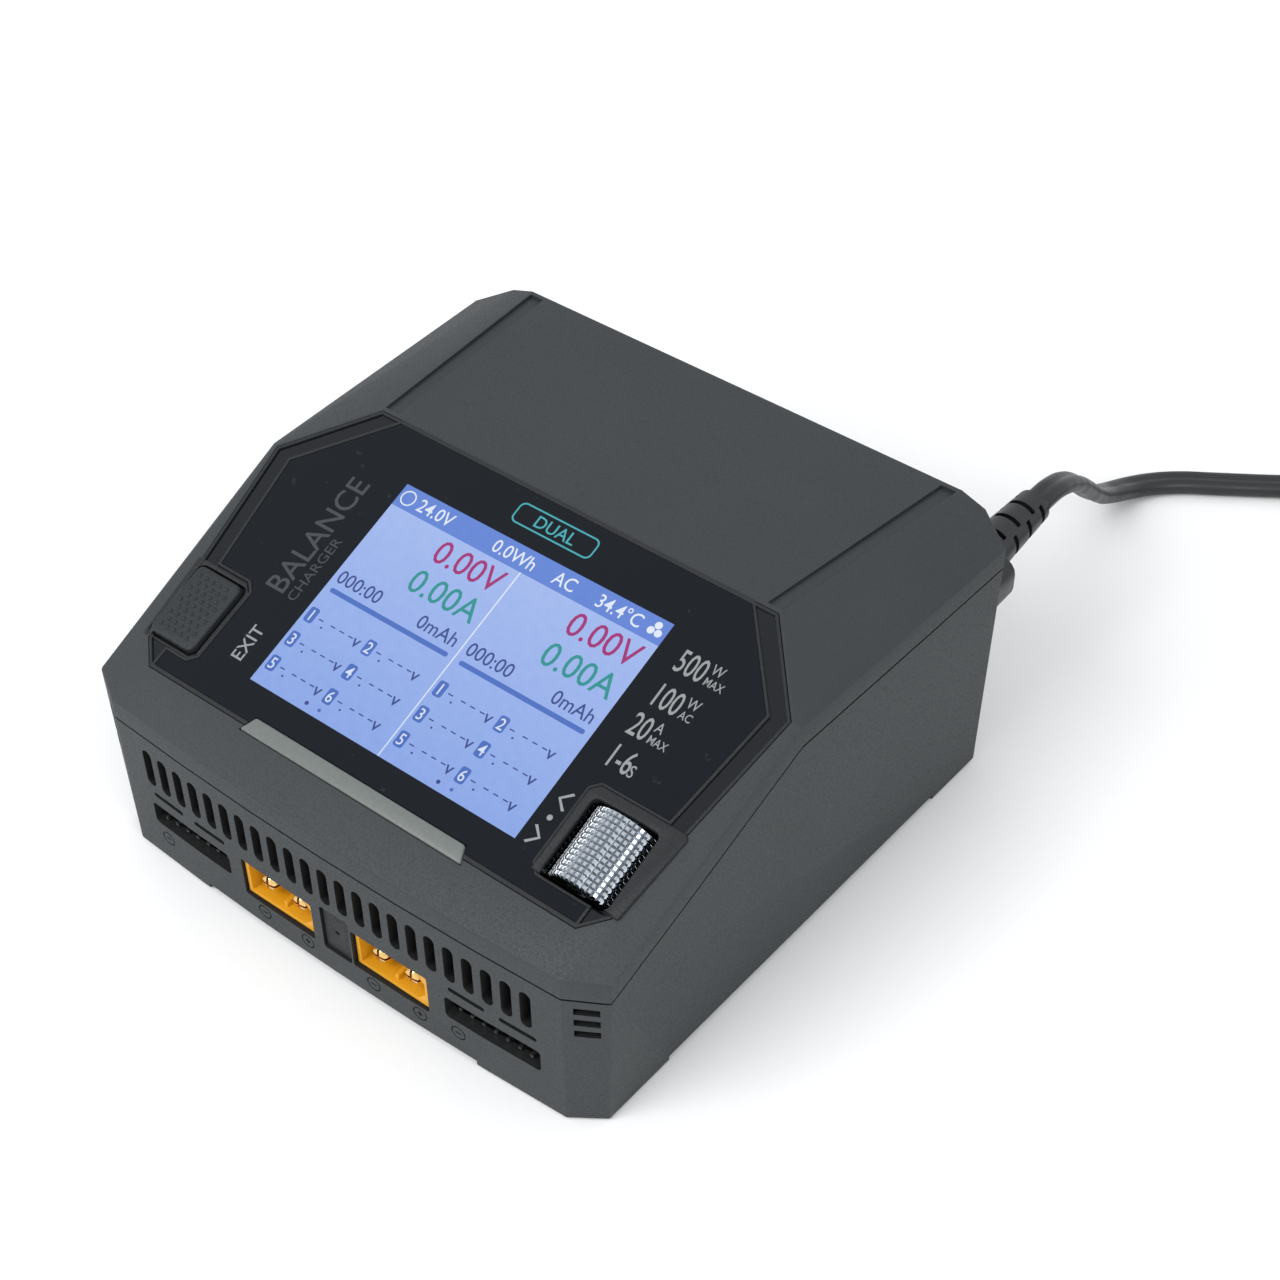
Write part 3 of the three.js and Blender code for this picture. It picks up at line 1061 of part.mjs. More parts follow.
// Centre line of the lead from its strain relief to the coil, chosen by hand
const LEAD_ROUTE = [
  [45.0, 144.6, 30.5],
  [45.0, 150.0, 30.2],
  [44.8, 155.5, 28.2],
  [44.3, 161.0, 24.4],
  [43.6, 166.5, 19.3],
  [42.8, 172.0, 14.0],
  [42.1, 177.5, 9.3],
  [41.9, 183.5, 5.6],
  [42.7, 189.3, 3.2],
  [45.4, 194.8, 2.1],
  [49.8, 199.2, 1.9],
  [55.4, 203.0, 1.9],
  [66.5, 210.5, 1.9],
  [76.3, 217.3, 2.4],
  [86.0, 224.0, 3.0],
  [99.3, 233.3, 3.4],
];
const COIL_CENTRE = [118.4, 205.9];
const TAIL_ROUTE = [
  [151.8, 205.9, 10.7],
  [151.8, 197.0, 10.6],
  [152.2, 188.5, 9.6],
  [153.2, 181.0, 8.2],
  [154.0, 175.0, 7.3],
  [154.0, 168.5, 7.15],
];

/** Sweeps an outline along a list of points. */
function sweep(shape, points, steps) {
  const path = new THREE.CatmullRomCurve3(points.map((p) => new THREE.Vector3(...p)));
  return new THREE.ExtrudeGeometry(shape, { steps, extrudePath: path, curveSegments: 1 });
}

/** A round outline with a given number of sides. */
function roundOutline(radius, sides) {
  const points = [];
  for (let i = 0; i < sides; i++) {
    const angle = (2 * Math.PI * (i + 0.5)) / sides;
    points.push([radius * Math.cos(angle), radius * Math.sin(angle)]);
  }
  return shapeOf(points);
}

function addMainsLead(group) {
  const [bodyWidth, bodyHeight, bodyLength] = CONNECTOR_BODY;
  const noseLength = INLET_CAVITY[2] - 1;
  const noseWidth = INLET_CAVITY[0] - 2 * SLIDE_FIT;
  const noseHeight = INLET_CAVITY[1] - 2 * SLIDE_FIT;
  const start = DEPTH + FIT;
  const body = backward(roundedRect(bodyWidth, bodyHeight, 3, INLET_X, INLET_HEIGHT), start, start + bodyLength);
  const nose = backward(
    roundedRect(noseWidth, noseHeight, noseHeight / 2, INLET_X, INLET_HEIGHT),
    DEPTH - noseLength,
    start + 1,
  );
  const bores = both.map((side) =>
    solid(
      bolt(
        INLET_PIN_RADIUS + FIT,
        INLET_X + (side * INLET_PIN_SPACING) / 2,
        INLET_HEIGHT,
        DEPTH - noseLength - 1,
        DEPTH - 1,
        10,
      ),
    ),
  );
  piece(group, "appliance_connector", cut(join(solid(body), solid(nose)), ...bores), blackPlastic);

  const reliefEnd = LEAD_ROUTE[0][1] - FIT;
  const relief = new THREE.CylinderGeometry(
    RELIEF_RADII[1],
    RELIEF_RADII[0],
    reliefEnd - start - bodyLength - FIT,
    12,
  ).translate(INLET_X, (reliefEnd + start + bodyLength + FIT) / 2, INLET_HEIGHT);
  piece(group, "connector_strain_relief", solid(relief), blackPlastic);

  const ring = coilForm(0);
  piece(group, "mains_cord_coil", ring, blackPlastic);
  const clear = coilForm(FIT);
  const cord = (points, steps) => solid(sweep(roundOutline(CORD_THICKNESS / 2, 8), points, steps));
  piece(group, "mains_cord", cut(cord(LEAD_ROUTE, 16), clear), blackPlastic);
  piece(group, "mains_cord_tail", cut(cord(TAIL_ROUTE, 5), clear), blackPlastic);
  addTie(group);
  addPlug(group);
}

const coilAcross = (COIL_TURNS_ACROSS - 1) * TURN_PITCH + CORD_WIDTH;
const coilHeight = (COIL_LAYERS - 1) * LAYER_PITCH + CORD_THICKNESS;

/** The outer form of the coiled cord, grown by a clearance. */
function coilForm(grow) {
  const inner = COIL_MIDDLE_RADIUS - coilAcross / 2 - grow;
  const outer = COIL_MIDDLE_RADIUS + coilAcross / 2 + grow;
  const [low, high] = [COIL_BOTTOM - grow, COIL_BOTTOM + coilHeight + grow];
  const corner = CORD_THICKNESS / 3;
  const profile = [
    [inner, low + corner],
    [inner + corner, low],
    [outer - corner, low],
    [outer, low + corner],
    [outer, high - corner],
    [outer - corner, high],
    [inner + corner, high],
    [inner, high - corner],
    [inner, low + corner],
  ].map(([r, z]) => new THREE.Vector2(r, z));
  const ring = new THREE.LatheGeometry(profile, 32).rotateX(Math.PI / 2);
  return solid(ring.translate(...COIL_CENTRE, 0));
}

/** A tie round the bundle, on the side nearest the charger. */
function addTie(group) {
  const [width, height] = [coilAcross + 2 * FIT, coilHeight + 2 * FIT];
  const middle = COIL_BOTTOM + coilHeight / 2;
  const x = COIL_CENTRE[0];
  const band = (grow, from, to) => {
    const shape = roundedRect(width + 2 * grow, height + 2 * grow, 1, 0, middle);
    return solid(
      backward(shape, from, to)
        .rotateZ(Math.PI / 2)
        .translate(x, COIL_CENTRE[1] - COIL_MIDDLE_RADIUS, 0),
    );
  };
  const half = TIE_WIDTH / 2;
  piece(group, "cable_tie", cut(band(TIE_THICKNESS, -half, half), band(0, -TIE_WIDTH, TIE_WIDTH)), rubber);
}

/** A flat two-pin plug lying on its side, its pins pointing forward. */
function addPlug(group) {
  const [width, height, length] = PLUG_BODY;
  const [x, y] = TAIL_ROUTE.at(-1);
  const back = y - FIT;
  const face = back - length;
  const middle = height / 2 + FIT;
  const points = [];
  for (const [w, h, at] of [
    [width, height, face],
    [width, height, face + length * 0.45],
    [PLUG_TAIL[0], PLUG_TAIL[1], back],
  ])
    for (const side of both)
      for (const [across, up] of [
        [1, 0.35],
        [0.9, 0.5],
        [1, -0.35],
        [0.9, -0.5],
      ])
        points.push(new THREE.Vector3(x + (side * w * across) / 2, at, middle + h * up));
  const pinX = (side) => x + (side * PLUG_PIN[2]) / 2;
  const seat = 3;
  const holes = both.map((side) =>
    solid(bolt(PLUG_PIN[0] + FIT, pinX(side), middle, face - 1, face + seat, 12)),
  );
  piece(group, "mains_plug", cut(solid(new ConvexGeometry(points)), ...holes), blackPlastic);
  for (const side of both) {
    const pin = bolt(PLUG_PIN[0], pinX(side), middle, face - PLUG_PIN[1], face + seat - FIT, 12);
    piece(group, `mains_plug_pin_${sideName(side)}`, solid(pin), steel);
  }
}

// ---------------------------------------------------------------- assembly

const charger = new THREE.Group();
charger.position.set(0, -DEPTH / 2, 0);

piece(charger, "lower_case", makeLowerCase(), cover);
piece(charger, "upper_cover", makeUpperCover(), cover);

const panel = new THREE.Group();
panel.rotation.x = TILT;
panel.position.set(0, CHIN_DEPTH, BAND_TOP + CHIN_RISE);
charger.add(panel);
addPanelPieces(panel);

for (const side of both) {
  addChargeSocket(charger, side);
  addBalanceSocket(charger, side);
}
const coverPlate = cut(
  solid(
    backward(
      roundedRect(...PLATE_SIZE, PLATE_CORNER, ...PLATE_MIDDLE),
      PLATE_RECESS,
      PLATE_RECESS + PLATE_THICKNESS,
    ),
  ),
  solid(bolt(PLATE_HOLE_RADIUS, ...PLATE_MIDDLE, -1, 4, 8)),
);
piece(charger, "blanking_plate", coverPlate, cover);

addMainsInlet(charger);
addFan(charger);
addInside(charger);
addFasteners(charger);
addMainsLead(charger);

export default charger;
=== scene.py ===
import itertools
import math

import bmesh
import bpy
from mathutils import Euler, Matrix, Vector


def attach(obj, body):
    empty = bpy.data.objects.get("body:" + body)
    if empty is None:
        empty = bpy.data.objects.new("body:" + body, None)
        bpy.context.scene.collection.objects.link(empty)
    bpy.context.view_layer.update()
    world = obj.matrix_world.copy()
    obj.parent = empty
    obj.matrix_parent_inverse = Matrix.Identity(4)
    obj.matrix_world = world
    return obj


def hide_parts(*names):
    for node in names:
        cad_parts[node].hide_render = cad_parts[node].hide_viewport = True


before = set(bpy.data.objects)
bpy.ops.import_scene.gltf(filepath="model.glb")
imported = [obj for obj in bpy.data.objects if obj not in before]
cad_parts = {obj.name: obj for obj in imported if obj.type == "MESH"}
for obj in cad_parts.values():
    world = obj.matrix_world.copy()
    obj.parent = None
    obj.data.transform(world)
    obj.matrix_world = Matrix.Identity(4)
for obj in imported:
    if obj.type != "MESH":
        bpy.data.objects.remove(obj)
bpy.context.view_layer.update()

# Camera, studio and floor
# A desk-product view from the front right and above, on a pale floor, under two large soft boxes
# and a bright even sky.

MM = 0.001
FRONT = -55.75 * MM  # the middle of the front face


def place(x, y, z):
    """A point given in millimetres from the middle of the front face, at floor height."""
    return Vector((x * MM, y * MM + FRONT, z * MM))


def linear(hex_colour):
    """The linear colour of an sRGB hex value."""
    parts = [int(hex_colour[i : i + 2], 16) / 255 for i in (1, 3, 5)]
    return (*[c / 12.92 if c <= 0.04045 else ((c + 0.055) / 1.055) ** 2.4 for c in parts], 1)


def add(tree, kind, inputs=None, **settings):
    """Adds a node, with its settings and with values or links for its inputs."""
    node = tree.nodes.new(kind)
    for name, value in settings.items():
        setattr(node, name, value)
    for key, value in (inputs or {}).items():
        if isinstance(value, bpy.types.NodeSocket):
            tree.links.new(value, node.inputs[key])
        else:
            node.inputs[key].default_value = value
    return node


def paint(piece, material):
    """Gives a whole piece one material."""
    piece.data.materials.clear()
    piece.data.materials.append(material)
    return piece


def new_object(name, mesh, material=None):
    """An object at the origin that holds a mesh."""
    piece = bpy.data.objects.new(name, mesh)
    bpy.context.scene.collection.objects.link(piece)
    return paint(piece, material) if material else piece


def new_material(name, hex_colour, roughness, metallic=0.0, ior=1.5):
    """A material with its shader's even values set; the caller adds its pattern."""
    material = bpy.data.materials.new(name)
    material.use_nodes = True
    shader = material.node_tree.nodes["Principled BSDF"]
    shader.inputs["Base Color"].default_value = linear(hex_colour)
    shader.inputs["Roughness"].default_value = roughness
    shader.inputs["Metallic"].default_value = metallic
    shader.inputs["IOR"].default_value = ior
    return material, material.node_tree, shader


def mottle(tree, size, detail):
    """Cloudy noise fixed to the piece, its blotches about a size in millimetres."""
    where = add(tree, "ShaderNodeTexCoord")
    scale = 1 / (size * MM)
    inputs = {"Vector": where.outputs["Object"], "Scale": scale, "Detail": detail}
    return add(tree, "ShaderNodeTexNoise", inputs).outputs["Fac"]


def blend(tree, factor, low_hex, high_hex):
    """A colour that runs from one to another with a factor."""
    inputs = {0: factor, 6: linear(low_hex), 7: linear(high_hex)}
    return add(tree, "ShaderNodeMix", inputs, data_type="RGBA").outputs[2]


def emboss(tree, shader, height, strength, depth):
    """Fine relief from a height pattern, its depth in millimetres."""
    relief = add(tree, "ShaderNodeBump", {"Strength": strength, "Distance": depth * MM, "Height": height})
    tree.links.new(relief.outputs["Normal"], shader.inputs["Normal"])


def vary_roughness(tree, shader, pattern, low, high, pattern_range=(0.0, 1.0)):
    """Roughness that follows a pattern between two values."""
    limits = {"From Min": pattern_range[0], "From Max": pattern_range[1], "To Min": low, "To Max": high}
    sheen = add(tree, "ShaderNodeMapRange", {"Value": pattern, **limits})
    tree.links.new(sheen.outputs["Result"], shader.inputs["Roughness"])


LENS = 66.69
LOOKED_AT = (26.314, 50, 56.088)
VIEW_DISTANCE = 377.056
VIEW_ANGLES = (38.655, 43.632, -0.725)  # round from the front, up, and the camera's roll
camera_data = bpy.data.cameras.new("camera")
camera_data.lens = LENS
camera_data.clip_start = 0.01
camera = bpy.data.objects.new("camera", camera_data)
bpy.context.scene.collection.objects.link(camera)
azimuth, elevation, roll = (math.radians(angle) for angle in VIEW_ANGLES)
back = Vector(
    (
        math.sin(azimuth) * math.cos(elevation),
        -math.cos(azimuth) * math.cos(elevation),
        math.sin(elevation),
    )
)
level_right = Vector((math.cos(azimuth), math.sin(azimuth), 0))
level_up = back.cross(level_right)
right = math.cos(roll) * level_right + math.sin(roll) * level_up
up = -math.sin(roll) * level_right + math.cos(roll) * level_up
turn = Matrix((right, up, back)).transposed().to_4x4()
camera.matrix_world = Matrix.Translation(place(*LOOKED_AT) + VIEW_DISTANCE * MM * back) @ turn
bpy.context.scene.camera = camera

world = bpy.data.worlds.new("studio")
world.use_nodes = True
sky = world.node_tree.nodes["Background"]
sky.inputs["Color"].default_value = linear("#F4F6FA")
sky.inputs["Strength"].default_value = 0.95
bpy.context.scene.world = world
bpy.context.scene.view_settings.view_transform = "Standard"


def soft_box(name, position, size, power):
    """A large rectangular lamp, in metres and watts, that faces the charger."""
    data = bpy.data.lights.new(name, "AREA")
    data.shape = "RECTANGLE"
    data.size, data.size_y = size
    data.energy = power
    light = bpy.data.objects.new(name, data)
    bpy.context.scene.collection.objects.link(light)
    light.location = position
    light.rotation_euler = (AIM - Vector(position)).to_track_quat("-Z", "Y").to_euler()


AIM = Vector((0, 0, 0.03))
soft_box("key_soft_box", (-0.3, -1.0, 1.1), (0.8, 0.8), 13)
soft_box("fill_soft_box", (0.9, -0.3, 0.8), (0.7, 0.5), 3)


def painted_floor():
    """Matt white studio board: even, with a barely seen roller texture."""
    material, tree, shader = new_material("matt_white_studio_board", "#F1F1F0", 0.75)
    emboss(tree, shader, mottle(tree, FLOOR_MOTTLE, 3.0), 0.05, 0.2)
    return material


FLOOR_HALF = 3.0  # in metres
FLOOR_MOTTLE = 6.67
floor_mesh = bpy.data.meshes.new("floor")
floor_corners = [(x * FLOOR_HALF, y * FLOOR_HALF, 0) for x, y in ((-1, -1), (1, -1), (1, 1), (-1, 1))]
floor_mesh.from_pydata(floor_corners, [], [(0, 1, 2, 3)])
new_object("floor", floor_mesh, painted_floor())


# Mains lead
# Flat twin cord in black vinyl, two insulated cores side by side, wound for storage and tied.
# It leaves the connector's strain relief, drops to the table and ends in a two-pin plug.

CORD_WIDTH = 5.4
CORD_THICKNESS = 3.3
LEAD_ROUTE = [
    (45.0, 144.6, 30.5),
    (45.0, 150.0, 30.2),
    (44.8, 155.5, 28.2),
    (44.3, 161.0, 24.4),
    (43.6, 166.5, 19.3),
    (42.8, 172.0, 14.0),
    (42.1, 177.5, 9.3),
    (41.9, 183.5, 5.6),
    (42.7, 189.3, 3.2),
    (45.4, 194.8, 2.1),
    (49.8, 199.2, 1.9),
    (55.4, 203.0, 1.9),
    (66.5, 210.5, 1.9),
    (76.3, 217.3, 2.4),
    (86.0, 224.0, 3.0),
]
TAIL_ROUTE = [
    (151.8, 197.0, 10.6),
    (152.2, 188.5, 9.6),
    (153.2, 181.0, 8.2),
    (154.0, 175.0, 7.3),
    (154.0, 168.5, 7.15),
]
COIL_CENTRE = (118.4, 205.9)
COIL_RADIUS = 30.6
COIL_START = math.radians(124.9)
TURN_PITCH = 5.6
LAYER_PITCH = 3.7
COIL_FLOOR = 3.3
WHOLE_TURNS = 5
POINTS_PER_TURN = 36
# Each turn's place in the bundle: side (-1 inner, 1 outer) and layer
BUNDLE = [(1, 0), (-1, 0), (-1, 1), (1, 1), (-1, 2), (1, 2)]


def coil_points():
    """The centre line of the wound turns; each turn eases over to the next one's place at its end."""
    sweep = WHOLE_TURNS * 2 * math.pi + COIL_START
    count = int(POINTS_PER_TURN * sweep / (2 * math.pi))
    points = []
    for i in range(count + 1):
        turned = sweep * i / count / (2 * math.pi)
        turn_number = min(int(turned), len(BUNDLE) - 1)
        after = min(turn_number + 1, len(BUNDLE) - 1)
        ease = max(0.0, (turned - turn_number - 0.75) / 0.25)
        ease = ease * ease * (3 - 2 * ease)
        side = BUNDLE[turn_number][0] * (1 - ease) + BUNDLE[after][0] * ease
        layer = BUNDLE[turn_number][1] * (1 - ease) + BUNDLE[after][1] * ease
        angle = COIL_START - 2 * math.pi * turned
        radius = COIL_RADIUS + side * TURN_PITCH / 2
        points.append(
            (
                COIL_CENTRE[0] + radius * math.cos(angle),
                COIL_CENTRE[1] + radius * math.sin(angle),
                COIL_FLOOR + LAYER_PITCH * layer,
            )
        )
    return points


def smooth_route(points, steps):
    """Points along the curve that passes through every given point."""
    padded = [points[0], *points, points[-1]]
    route = []
    for a, b, c, d in zip(padded, padded[1:], padded[2:], padded[3:]):
        a, b, c, d = (Vector(p) for p in (a, b, c, d))
        for i in range(steps):
            t = i / steps
            square = (2 * a - 5 * b + 4 * c - d) * t**2
            cube = (3 * b - a - 3 * c + d) * t**3
            route.append((2 * b + (c - a) * t + square + cube) / 2)
    return [*route, Vector(points[-1])]


def twin_section():
    """The figure of eight of two round cores, as points across and up."""
    core = CORD_THICKNESS / 2
    offset = CORD_WIDTH / 2 - core
    arc = [math.radians(a) for a in range(-125, 126, 25)]
    right_core = [(offset + core * math.cos(a), core * math.sin(a)) for a in arc]
    left_core = [(-x, -y) for x, y in right_core]
    return right_core + left_core


def skin(body, rings, ends=True):
    """Faces between each ring of points and the next, and over both ends."""
    for near, far in zip(rings, rings[1:]):
        for i in range(len(near)):
            j = (i + 1) % len(near)
            body.faces.new((near[i], near[j], far[j], far[i]))
    if ends:
        body.faces.new(rings[0][::-1])
        body.faces.new(rings[-1])


def mesh_of(name, body):
    """A mesh made from a bmesh, with its faces turned outwards."""
    bmesh.ops.recalc_face_normals(body, faces=body.faces)
    mesh = bpy.data.meshes.new(name)
    body.to_mesh(mesh)
    body.free()
    return mesh


def swept_tube(name, route, section):
    """A closed tube with the section level across the route."""
    body = bmesh.new()
    rings = []
    for i, point in enumerate(route):
        ahead = (route[min(i + 1, len(route) - 1)] - route[max(i - 1, 0)]).normalized()
        across = ahead.cross(Vector((0, 0, 1))).normalized()
        over = across.cross(ahead)
        rings.append([body.verts.new(point + (across * u + over * v) * MM) for u, v in section])
    skin(body, rings)
    mesh = mesh_of(name, body)
    mesh.shade_smooth()
    return mesh


def cord_vinyl():
    """Extruded soft vinyl: a satin black with faint scuffs along it."""
    material, tree, shader = new_material("extruded_black_vinyl", "#17181A", 0.42, ior=1.53)
    scuffs = mottle(tree, 3.85, 5.0)
    vary_roughness(tree, shader, scuffs, 0.36, 0.52, (0.35, 0.65))
    emboss(tree, shader, scuffs, 0.25, 0.06)
    return material


vinyl = cord_vinyl()
lead = smooth_route([*LEAD_ROUTE, *coil_points()[:1]], 4)
tail = smooth_route([coil_points()[-1], *TAIL_ROUTE], 4)
cord_route = [place(*p) for p in [*lead[:-1], *coil_points(), *tail[1:]]]
mains_cord = new_object("flat_twin_cord", swept_tube("flat_twin_cord", cord_route, twin_section()), vinyl)
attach(mains_cord, "charger")
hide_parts("mains_cord", "mains_cord_tail", "mains_cord_coil")


# Case
# Two injection-moulded halves in dark grey ABS with a spark-eroded texture: a lower tub on four
# moulded feet and a wedge-shaped cover, meeting at a shadow gap that climbs along the sides.

WALL = 2.2
EDGE_RADIUS = 0.9
SHADOW_GAP = 0.4
GRAIN = 0.35  # of the spark-eroded texture
PARTING = [(-40.0, 30.9), (5.6, 30.9), (51.8, 49.6), (111.5, 47.7), (160.0, 47.7)]


def hull_of(name, *nodes):
    """The convex hull of CAD pieces, with its flat faces made whole."""
    body = bmesh.new()
    for node in nodes:
        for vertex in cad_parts[node].data.vertices:
            body.verts.new(vertex.co)
    bmesh.ops.remove_doubles(body, verts=body.verts, dist=1e-5)
    bmesh.ops.convex_hull(body, input=body.verts)
    bmesh.ops.delete(body, geom=[v for v in body.verts if not v.link_faces], context="VERTS")
    bmesh.ops.dissolve_limit(body, angle_limit=math.radians(0.7), verts=body.verts, edges=body.edges)
    return new_object(name, mesh_of(name, body))


def inset_form(name, piece, distance):
    """A convex form whose every face lies a distance inside the piece's."""
    planes = []
    for face in piece.data.polygons:
        planes.append((face.normal.copy(), face.normal.dot(face.center) - distance * MM))
    body = bmesh.new()
    for three in itertools.combinations(planes, 3):
        normals = Matrix([normal for normal, reach in three])
        if abs(normals.determinant()) < 1e-3:
            continue
        corner = normals.inverted() @ Vector([reach for normal, reach in three])
        if all(normal.dot(corner) <= reach + 1e-7 for normal, reach in planes):
            body.verts.new(corner)
    bmesh.ops.remove_doubles(body, verts=body.verts, dist=1e-5)
    bmesh.ops.convex_hull(body, input=body.verts)
    bmesh.ops.delete(body, geom=[v for v in body.verts if not v.link_faces], context="VERTS")
    return new_object(name, mesh_of(name, body))


def settle(piece):
    """Turns a piece with its modifiers into a plain mesh."""
    graph = bpy.context.evaluated_depsgraph_get()
    plain = bpy.data.meshes.new_from_object(piece.evaluated_get(graph))
    piece.modifiers.clear()
    piece.data = plain
    return piece


def combine(piece, tool, operation):
    """Cuts, joins or intersects a piece with a tool, which is then thrown away."""
    change = piece.modifiers.new("cut", "BOOLEAN")
    change.operation = operation
    change.object = tool
    change.solver = "EXACT"
    change.material_mode = "TRANSFER"
    settle(piece)
    bpy.data.objects.remove(tool)
    return piece


def bevel(piece, radius, segments=2, angle=20):
    """Rounds a piece's sharp edges."""
    rounding = piece.modifiers.new("rounding", "BEVEL")
    rounding.width = radius * MM
    rounding.segments = segments
    rounding.limit_method = "ANGLE"
    rounding.angle_limit = math.radians(angle)
    return settle(piece)


def shade(piece, angle=28):
    """Smooth shading that keeps the sharp edges."""
    for polygon in piece.data.polygons:
        polygon.use_smooth = True
    piece.data.set_sharp_from_angle(angle=math.radians(angle))
    return piece


def prism(name, outline, low, high, axes):
    """A closed prism: the outline lies in the first two axes and is pushed along the third."""
    body = bmesh.new()
    rings = []
    for level in (low, high):
        rings.append([body.verts.new(axes @ Vector((u, v, level)) * MM) for u, v in outline])
    skin(body, rings)
    return new_object(name, mesh_of(name, body))


# Outlines are drawn in these planes, in millimetres
FROM_FRONT = Matrix(((1, 0, 0), (0, 0, 1), (0, 1, 0)))  # drawn in X and Z, pushed back along Y
FROM_SIDE = Matrix(((0, 0, 1), (1, 0, 0), (0, 1, 0)))  # drawn in Y and Z, pushed along X
FROM_TOP = Matrix.Identity(3)  # drawn in X and Y, pushed up along Z


def shifted(piece, x=0.0, y=0.0, z=0.0):
    """Moves a piece's mesh, so that its object stays at the origin."""
    piece.data.transform(Matrix.Translation(Vector((x, y, z)) * MM))
    return piece


def from_front(piece):
    """Moves a mesh drawn from the front face to its place behind the origin."""
    piece.data.transform(Matrix.Translation((0, FRONT, 0)))
    return piece


def above_parting(shift):
    """All that lies above the parting line, which is moved up by a shift."""
    outline = [(y, z + shift) for y, z in PARTING]
    outline += [(PARTING[-1][0], 90), (PARTING[0][0], 90)]
    # The prism carries the painted-shade plastic onto the parting cut faces, so the shadow gap is painted
    # dark.
    return paint(from_front(prism("parting", outline, -90, 90, FROM_SIDE)), shaded_plastic)


def rounded_outline(width, height, radius, x=0.0, z=0.0, steps=5):
    """A rectangle with round corners."""
    points = []
    for corner, (sx, sz) in enumerate(((1, 1), (-1, 1), (-1, -1), (1, -1))):
        for i in range(steps + 1):
            angle = math.radians(90 * (corner + i / steps))
            points.append(
                (
                    x + sx * (width / 2 - radius) + radius * math.cos(angle),
                    z + sz * (height / 2 - radius) + radius * math.sin(angle),
                )
            )
    return points


def spark_plastic(name, dark_hex, hex_colour):
    """Moulded ABS, spark-eroded: matt, with a fine grain that breaks up its highlights."""
    material, tree, shader = new_material(name, hex_colour, 0.6)
    where = add(tree, "ShaderNodeTexCoord")
    grain = add(tree, "ShaderNodeTexVoronoi", {"Vector": where.outputs["Object"], "Scale": 1 / (GRAIN * MM)})
    tone = blend(tree, mottle(tree, 28.6, 4.0), dark_hex, hex_colour)
    tree.links.new(tone, shader.inputs["Base Color"])
    vary_roughness(tree, shader, grain.outputs["Distance"], 0.48, 0.72, (0.0, 0.8))
    emboss(tree, shader, grain.outputs["Distance"], 0.35, 0.06)
    return material


case_plastic = spark_plastic("spark_eroded_grey_ABS", "#24292B", "#2C3133")
# Painted shade: a near-black copy of the case's spark-eroded ABS. It goes on the hollow's inner faces, on the
# walls of every opening cut in the tub and on the parting cut faces, where shade falls. It stands for shade,
# not for a second plastic.
shaded_plastic = spark_plastic("painted_shade_spark_eroded_ABS", "#090A0B", "#0E0F10")

whole_case = hull_of("whole_case", "lower_case", "upper_cover")
hollow = inset_form("hollow", whole_case, WALL)
# The hollow's inner faces take the painted shade.
paint(hollow, shaded_plastic)
paint(whole_case, case_plastic)
bevel(whole_case, EDGE_RADIUS, 3, angle=9)
combine(whole_case, hollow, "DIFFERENCE")

upper_cover = new_object("cover", whole_case.data.copy())
lower_case = new_object("tub", whole_case.data.copy())
bpy.data.objects.remove(whole_case)
combine(upper_cover, above_parting(SHADOW_GAP / 2), "INTERSECT")
combine(lower_case, above_parting(-SHADOW_GAP / 2), "DIFFERENCE")
for piece, node in ((upper_cover, "upper_cover"), (lower_case, "lower_case")):
    shade(piece)
    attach(piece, "charger")
    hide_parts(node)


# Openings in the tub
# Rows of cooling slots, socket mouths and wells are all moulded straight through the wall; four feet
# are what is left of the underside at the corners, and thin rings are engraved beside the sockets.

VENT = {"count": 23, "pitch": 3.8, "width": 2.2, "height": 8.4, "depth": 12}
VENT_MIDDLE = 23.2
REAR_VENT = {"count": 6, "pitch": 3.8, "width": 2.2, "height": 22.0, "depth": 6}
REAR_VENT_START = (10.0, 27.6)
INTAKE = {"count": 8, "pitch": 7.0, "width": 2.4, "height": 30.0, "depth": 8}
CORNER_VENT = (4.2, 1.5)
CORNER_VENT_HEIGHTS = (22.9, 25.6, 28.3)
FACE_HALF = 48.8
FRONT_CORNER = (6.8, 4.0)
FRONT_BOW = 1.6
DEPTH = 111.5
FIT = 0.3
THROUGH = (-5.0, 6.0)
REAR_THROUGH = (108.0, 113.0)
CHARGE_SOCKET_X = (-12.2, 13.1)
CHARGE_SOCKET_SIZE = (15.8, 8.1)
CHARGE_SOCKET_MIDDLE = 11.45
BALANCE_SLOT = (19.3, 4.9)
BALANCE_SLOT_MIDDLE = 11.65
BALANCE_SLOT_X = (-33.26, 34.54)
SLIT = (7.4, 1.0)
SLIT_HEIGHT = 16.8
SLIT_OFFSETS = (-4.9, 5.4)
PLATE_HOLE = (6.3, 10.4)
PLATE_MIDDLE = (1.35, 12.2)
INLET_HOLE = (17.6, 11.2)
INLET_MIDDLE = (45.0, 30.5)
FAN_MIDDLE = (-18.0, 27.6)
FAN_BORE = 18.6
GRILLE_BARS = 9
GRILLE_BAR = 1.6
UNDERSIDE = 1.6
FOOT_LENGTH = 20.5
FOOT_WIDTH = 18.0
POST_PLACES = ((-50.2, 10.0), (50.2, 10.0), (-52.4, 87.5), (52.4, 87.5))
PAD_PLACES = ((-43.0, 12.0), (43.0, 12.0), (-47.8, 101.0), (47.8, 101.0))
SCREW_WELL = 3.0
PAD_SEAT = 4.8
MARK_PLACES = ((-40.4, 6.3), (-16.2, 5.1), (-6.0, 5.1), (9.0, 5.1), (19.1, 5.1), (27.3, 6.3))
MARK_RADII = (1.25, 1.5)
MARK_DEPTH = 0.25
ROUND_LEFT = 0.01  # of each straight side of an outline that is all corners
MINUS_SIGN = ((-0.6, -0.15), (0.6, -0.15), (0.6, 0.15), (-0.6, 0.15))
